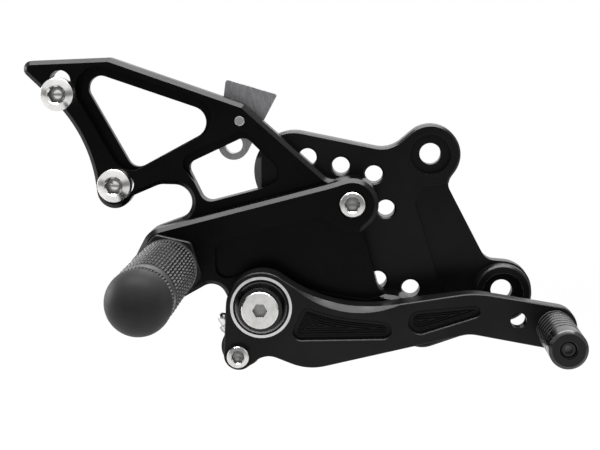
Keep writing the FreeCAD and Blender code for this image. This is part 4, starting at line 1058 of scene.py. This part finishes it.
@dataclass
class FootPeg:
    """Knurled foot peg with its round cap and the bolt behind it.

    From the root: collar, neck, long knurled band, smooth groove, short knurled ring and rim.
    """

    collar: float = 2.5 * MM
    collar_flats: float = 25.0 * MM
    collar_turn: float = -12.2
    collar_corner: float = 14.12 * MM
    collar_edge: float = 0.4 * MM
    neck: float = 2.2 * MM
    neck_radius: float = 10.3 * MM
    bore: float = 4.05 * MM
    bore_depth: float = 24 * MM
    barrel_radius: float = 12.0 * MM
    rounding: float = 0.15 * MM
    rim: float = 1.0 * MM
    ring: float = 4.2 * MM
    groove: float = 6.0 * MM
    groove_depth: float = 0.3 * MM
    knurl_depth: float = 0.6 * MM
    knurl_pitch: float = 1.3 * MM
    knurl_step: float = 1.3 * MM
    shiny_from: float = 0.1 * MM
    spigot_radius: float = 6.0 * MM
    spigot_length: float = 8.0 * MM
    cap_rounding: float = 0.3 * MM
    cap_steps: int = 40
    gate_radius: float = 1.3 * MM
    gate_relief: float = 0.15 * MM
    bolt_rounding: float = 0.1 * MM
    segments: int = 96

    def finish(self) -> KnurledBlack:
        """Finish whose tones follow the knurl's depth."""
        root = self.barrel_radius - self.knurl_depth
        return KnurledBlack("knurl_black", Slot.KNURLED, root + self.shiny_from, self.barrel_radius)

    def knurl(self, tree: Tree, axis: Vector, start: float, length: float) -> Mesh:
        """Knurl one band.

        Args:
            tree: The knurl tree.
            axis: A point on the peg's axis.
            start: Y of the band's inner end.
            length: Length of the band toward -Y.

        Returns:
            The band's teeth, in place.
        """
        band = tree.grow(
            "knurl_band",
            Radius=self.barrel_radius,
            Depth=self.knurl_depth,
            Start=start,
            Row_Step=self.knurl_step,
            Columns=round(2 * math.pi * self.barrel_radius / self.knurl_pitch),
            Rows=int(length / self.knurl_step) - 1,
            Material=self.finish().material(),
        )
        band.transform(Matrix.Translation((axis.x, 0, axis.z)))
        return band

    def build_barrel(self) -> None:
        """Turn the barrel on its hexagonal collar and raise both knurled bands on it."""
        low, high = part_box("foot_peg")
        axis = axis_of("foot_peg")
        root, end = high.y, low.y
        base = self.barrel_radius - self.knurl_depth
        edge, rounding = self.collar_edge, self.rounding
        collar = Hexagon(self.collar_flats, self.collar_turn, self.collar_corner)
        face = Hexagon(self.collar_flats - 2 * edge, self.collar_turn, self.collar_corner - edge)
        barrel_start = root - self.collar - self.neck
        band_end = end + self.rim + self.ring + self.groove
        smooth_radius = self.barrel_radius - self.groove_depth
        profile = [
            (0, root - self.bore_depth),
            (self.bore, root - self.bore_depth),
            (self.bore, root),
            (collar, root),
            (collar, root - self.collar + edge),
            (face, root - self.collar),
            (self.neck_radius, root - self.collar),
            (self.neck_radius, barrel_start),
            (base, barrel_start),
            (self.barrel_radius - rounding, barrel_start),
            (self.barrel_radius, barrel_start - rounding),
            (self.barrel_radius, barrel_start - 2 * rounding),
            (base, barrel_start - 3 * rounding),
            (base, band_end + rounding),
            (smooth_radius, band_end),
            (smooth_radius, band_end - self.groove),
            (base, band_end - self.groove - rounding),
            (base, end + self.rim + rounding),
            (smooth_radius, end + self.rim),
            (smooth_radius, end + rounding),
            (smooth_radius - rounding, end),
            (0, end),
        ]
        barrel = turned_mesh("barrel", profile, axis, self.segments)
        smooth_by_angle(barrel)
        tree = knurl_tree()
        long_band = self.knurl(tree, axis, barrel_start - 3 * rounding,
                               barrel_start - 4 * rounding - band_end)
        short_band = self.knurl(tree, axis, band_end - self.groove - rounding,
                                self.ring - 2 * rounding)
        piece = link("foot_peg_knurled", joined("foot_peg_knurled", barrel, long_band, short_band))
        hand_over(piece, self.finish(), "root", "foot_peg")

    def build_cap(self) -> None:
        """Mould the round cap, with the faint ring left by the moulding gate at its crown."""
        low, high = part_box("peg_end_cap")
        axis = axis_of("peg_end_cap")
        radius = 0.5 * (high.x - low.x)
        equator = low.y + radius
        profile = [
            (0, equator + self.spigot_length),
            (self.spigot_radius, equator + self.spigot_length),
            (self.spigot_radius, equator),
            (radius - self.cap_rounding, equator),
            (radius, equator - self.cap_rounding),
        ]
        for step in range(2, self.cap_steps):
            angle = 0.5 * math.pi * step / self.cap_steps
            profile.append((radius * math.cos(angle), equator - radius * math.sin(angle)))
        for share, sunk in ((1.25, 0), (1.1, 1), (0.9, 1), (0.75, 0), (0.4, 0)):
            away = share * self.gate_radius
            height = math.sqrt(radius ** 2 - away ** 2)
            profile.append((away, equator - height + sunk * self.gate_relief))
        profile.append((0, equator - radius))
        piece = link("peg_cap_moulded", turned_mesh("peg_cap", profile, axis, self.segments))
        smooth_by_angle(piece.data)
        hand_over(piece, CAP_GREY, "root", "peg_end_cap")

    def build(self) -> None:
        """Build the barrel and the cap and dress the bolt."""
        self.build_barrel()
        self.build_cap()
        dress("foot_peg_bolt", BRIGHT_STEEL, "root", self.bolt_rounding)


@dataclass
class CapScrew:
    """Socket head screw along Y, with a coned face, its socket and a thread at its end.

    The drill's cone is a share of the socket's flats, the core and run-out one of the pitch.
    """

    node: str
    body: str
    shank: float
    head_height: float
    flats: float
    pitch: float
    thread_from: float
    cone: float
    edge: float = 0.3 * MM
    lip: float = 0.35 * MM
    drill_radius: float = 0.4
    drill_depth: float = 0.25
    core_depth: float = 0.54
    run_out: float = 0.6
    segments: int = 48

    def build(self, tree: Tree) -> None:
        """Turn the head and the shank, and wind the thread.

        Args:
            tree: The thread tree.
        """
        low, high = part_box(self.node)
        axis = axis_of(self.node)
        head = 0.5 * (high.x - low.x)
        front, tip = low.y, high.y
        seat = front + self.head_height
        core = self.shank - self.core_depth * self.pitch
        mouth = self.flats / math.sqrt(3)
        socket = Hexagon(self.flats)
        floor = front + 0.5 * self.head_height
        profile = [
            (0, floor + self.drill_depth * self.flats),
            (self.drill_radius * self.flats, floor),
            (Hexagon(self.flats - 2 * self.edge), floor),
            (socket, floor - self.edge),
            (socket, front + 2 * self.lip),
            (mouth, front + self.lip),
            (mouth + self.lip, front),
            (head - self.edge, front + self.cone),
            (head, front + self.cone + self.edge),
            (head, seat),
            (self.shank, seat),
            (self.shank, self.thread_from),
            (core, self.thread_from + 0.5 * self.pitch),
            (core, tip - self.edge),
            (core - self.edge, tip),
            (0, tip),
        ]
        screw = turned_mesh(self.node, profile, axis, self.segments)
        thread = tree.grow(
            "thread",
            Radius=self.shank,
            Pitch=self.pitch,
            Length=tip - self.thread_from - 2 * self.run_out * self.pitch,
            Material=BRIGHT_STEEL.material(),
        )
        thread.transform(Matrix.Translation((axis.x, tip - self.run_out * self.pitch, axis.z)))
        piece = link(self.node + "_finished", joined(self.node, screw, thread))
        smooth_by_angle(piece.data)
        hand_over(piece, BRIGHT_STEEL, self.body, self.node)


@dataclass
class Fasteners:
    """Hanger bolts and nuts, rear screws, the tab's screw and the push rod's screw.

    A thread's numbers are its shank's radius, head height, socket across flats and pitch.
    """

    m_eight: tuple[float, ...] = (4.0 * MM, 8.0 * MM, 6.0 * MM, 1.25 * MM)
    m_six: tuple[float, ...] = (3.0 * MM, 6.0 * MM, 5.0 * MM, 1.0 * MM)
    m_five: tuple[float, ...] = (2.5 * MM, 5.0 * MM, 4.0 * MM, 0.8 * MM)
    coned: float = 0.9 * MM
    flat: float = 0.2 * MM

    def build(self) -> None:
        """Turn the screws whose heads and threads show, and dress the nuts."""
        tree = thread_tree()
        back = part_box("frame_plate")[1].y
        arm_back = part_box("hanger_plate")[1].y
        nut_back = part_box("arm_nut")[0].y
        for screw in (
            CapScrew("upper_rear_screw", "root", *self.m_eight, arm_back, self.coned),
            CapScrew("lower_rear_screw", "root", *self.m_eight, arm_back, self.coned),
            CapScrew("upper_hanger_bolt", "root", *self.m_six, back, self.flat),
            CapScrew("lower_hanger_bolt", "root", *self.m_six, back, self.flat),
            CapScrew("arm_screw", "brake_lever", *self.m_five, nut_back, self.flat),
        ):
            screw.build(tree)
        for node in ("upper_hanger_nut", "lower_hanger_nut", "tab_screw"):
            dress(node, BRIGHT_STEEL, "root")


@dataclass
class PushRodEnd:
    """Ball, eye, lock nut and stud behind the lever's arm."""

    rounding: float = 0.1 * MM

    def build(self) -> None:
        """Dress the push rod end and what clamps it to the lever."""
        for node in ("arm_nut", "arm_spacer", "rod_ball"):
            dress(node, BRIGHT_STEEL, "brake_lever", self.rounding)
        dress("push_rod_eye", DARK_STEEL, "push_rod", self.rounding)
        for node in ("push_rod_nut", "push_rod_stud"):
            dress(node, BRIGHT_STEEL, "push_rod", self.rounding)


# Studio


def aim(thing: Object, way: Vector) -> None:
    """Point a lamp or the camera in a direction."""
    thing.rotation_euler = way.to_track_quat("-Z", "Y").to_euler()


@dataclass(frozen=True)
class Lamp:
    """A soft oblong lamp that points at the object; its place counts from the object's middle."""

    name: str
    place: Triple
    width: float
    depth: float
    power: float

    def build(self, target: Vector) -> None:
        """Hang the lamp and point it.

        Args:
            target: The point that it lights.
        """
        light = bpy.data.lights.new(self.name, "AREA")
        light.shape = "RECTANGLE"
        light.size = self.width
        light.size_y = self.depth
        light.energy = self.power
        lamp = link(self.name, light)
        lamp.visible_camera = False
        lamp.location = target + Vector(self.place)
        aim(lamp, -Vector(self.place))


@dataclass
class Studio:
    """Pale floor, soft lamps and the camera at the photograph's angle."""

    floor_drop: float = 0.07
    floor_size: float = 60.0
    floor_tone: float = 0.86
    shadow_share: float = 0.3
    shadow_fade: Span = (0.25, 0.75)
    table_front: Span = (-1.05, -0.4)
    table_shade: Span = (-0.24, -0.09)
    world_level: float = 0.16
    front_level: float = 0.1
    sky_back: Span = (-0.6, 0.3)
    sky_top: Span = (0.12, 0.4)
    eye: Triple = (-0.026456, -0.602, 0.048564)
    yaw: float = math.radians(2.492)
    pitch: float = math.radians(7.4248)
    focal_pixels: float = 1481.0
    picture_width: float = 600.0
    sensor: float = 36.0
    nearest: float = 0.01
    lamps: tuple[Lamp, ...] = (
        Lamp("top_softbox", (0.0, -0.05, 0.92), width=1.1, depth=0.24, power=12.0),
        Lamp("back_softbox", (0.1, 0.9, 0.75), width=0.6, depth=0.6, power=4.0),
        Lamp("left_softbox", (-0.8, 0.35, 0.12), width=0.5, depth=0.4, power=3.5),
    )

    def white_for_eyes(self, graph: Graph, plain: Any, backward: Number) -> Any:
        """Show white to the camera, and to reflections and clear pieces where asked.

        Args:
            graph: The floor's or the world's graph.
            plain: Shader that lights the object.
            backward: Share of the white that reflections see.

        Returns:
            The mixed shader's socket.
        """
        path = graph.node("ShaderNodeLightPath")
        mirrored = Value(graph, path.outputs["Is Glossy Ray"])
        through = Value(graph, path.outputs["Is Transmission Ray"])
        share = (mirrored + through) * backward + Value(graph, path.outputs["Is Camera Ray"])
        white = graph.node("ShaderNodeEmission", None, {"Color": WHITE, "Strength": 1.0})
        return graph.node("ShaderNodeMixShader", None,
                          {0: share, 1: plain, 2: white.outputs[0]}).outputs[0]

    def build_world(self) -> None:
        """Even soft light, white to the camera; reflections find the front less bright."""
        world = bpy.data.worlds.new("studio")
        bpy.context.scene.world = world
        world.use_nodes = True
        graph = Graph("studio_world", world.node_tree)
        way = graph.node("ShaderNodeTexCoord").outputs["Generated"]
        backward = graph.math("MAXIMUM", graph.coordinate(way, "Y").between(*self.sky_back),
                              graph.coordinate(way, "Z").between(*self.sky_top))
        backward = backward * (1 - self.front_level)
        plain = graph.node("ShaderNodeBackground", None,
                           {"Color": WHITE, "Strength": self.world_level})
        graph.finish(self.white_for_eyes(graph, plain.outputs[0], backward + self.front_level))

    def build_floor(self, base: float) -> None:
        """Lay the floor a little below the object, with the shadow kept near the object.

        Args:
            base: Height of the object's lowest point.
        """
        half = 0.5 * self.floor_size
        corners = [(x * half, y * half, base - self.floor_drop)
                   for x, y in ((-1, -1), (1, -1), (1, 1), (-1, 1))]
        mesh = bpy.data.meshes.new("floor")
        mesh.from_pydata(corners, [], [(0, 1, 2, 3)])
        floor = link("floor", mesh)
        graph = Graph("pale_floor")
        far = graph.length(graph.place).between(*self.shadow_fade)
        plain = graph.node("ShaderNodeBsdfDiffuse", None, {"Color": (*grey(self.floor_tone), 1)})
        ahead = graph.coordinate(graph.place, "Y")
        table = ahead.between(*self.table_front) * (1 - ahead.between(*self.table_shade))
        white = self.white_for_eyes(graph, plain.outputs[0], table)
        whiteness = far * self.shadow_share + (1 - self.shadow_share)
        shown = graph.node("ShaderNodeMixShader", None,
                           {0: whiteness, 1: plain.outputs[0], 2: white})
        graph.finish(shown.outputs[0])
        mesh.materials.append(graph.material)
        floor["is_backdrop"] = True

    def build_camera(self) -> None:
        """Stand the camera where the photograph was taken from."""
        data = bpy.data.cameras.new("camera")
        data.sensor_width = self.sensor
        data.lens = self.sensor * self.focal_pixels / self.picture_width
        data.clip_start = self.nearest
        camera = link("camera", data)
        camera.location = self.eye
        level = math.cos(self.pitch)
        aim(camera, Vector((-math.sin(self.yaw) * level, math.cos(self.yaw) * level,
                            -math.sin(self.pitch))))
        bpy.context.scene.camera = camera

    def build(self, low: Vector, high: Vector) -> None:
        """Build the studio round the object.

        Args:
            low: Lowest corner of the object's box.
            high: Highest corner of the object's box.
        """
        bpy.context.scene.view_settings.view_transform = "Standard"
        self.build_world()
        self.build_floor(low.z)
        self.build_camera()
        for lamp in self.lamps:
            lamp.build((low + high) / 2)


def main() -> None:
    """Build every sub-assembly, then the studio."""
    logging.basicConfig(level=logging.INFO, format="%(name)s: %(message)s")
    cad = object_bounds()
    for part in (Plates(), Lever(), PivotBearing(), FootPeg(), Fasteners(), PushRodEnd()):
        part.build()
    Studio().build(*cad)


if __name__ == "__main__":
    main()
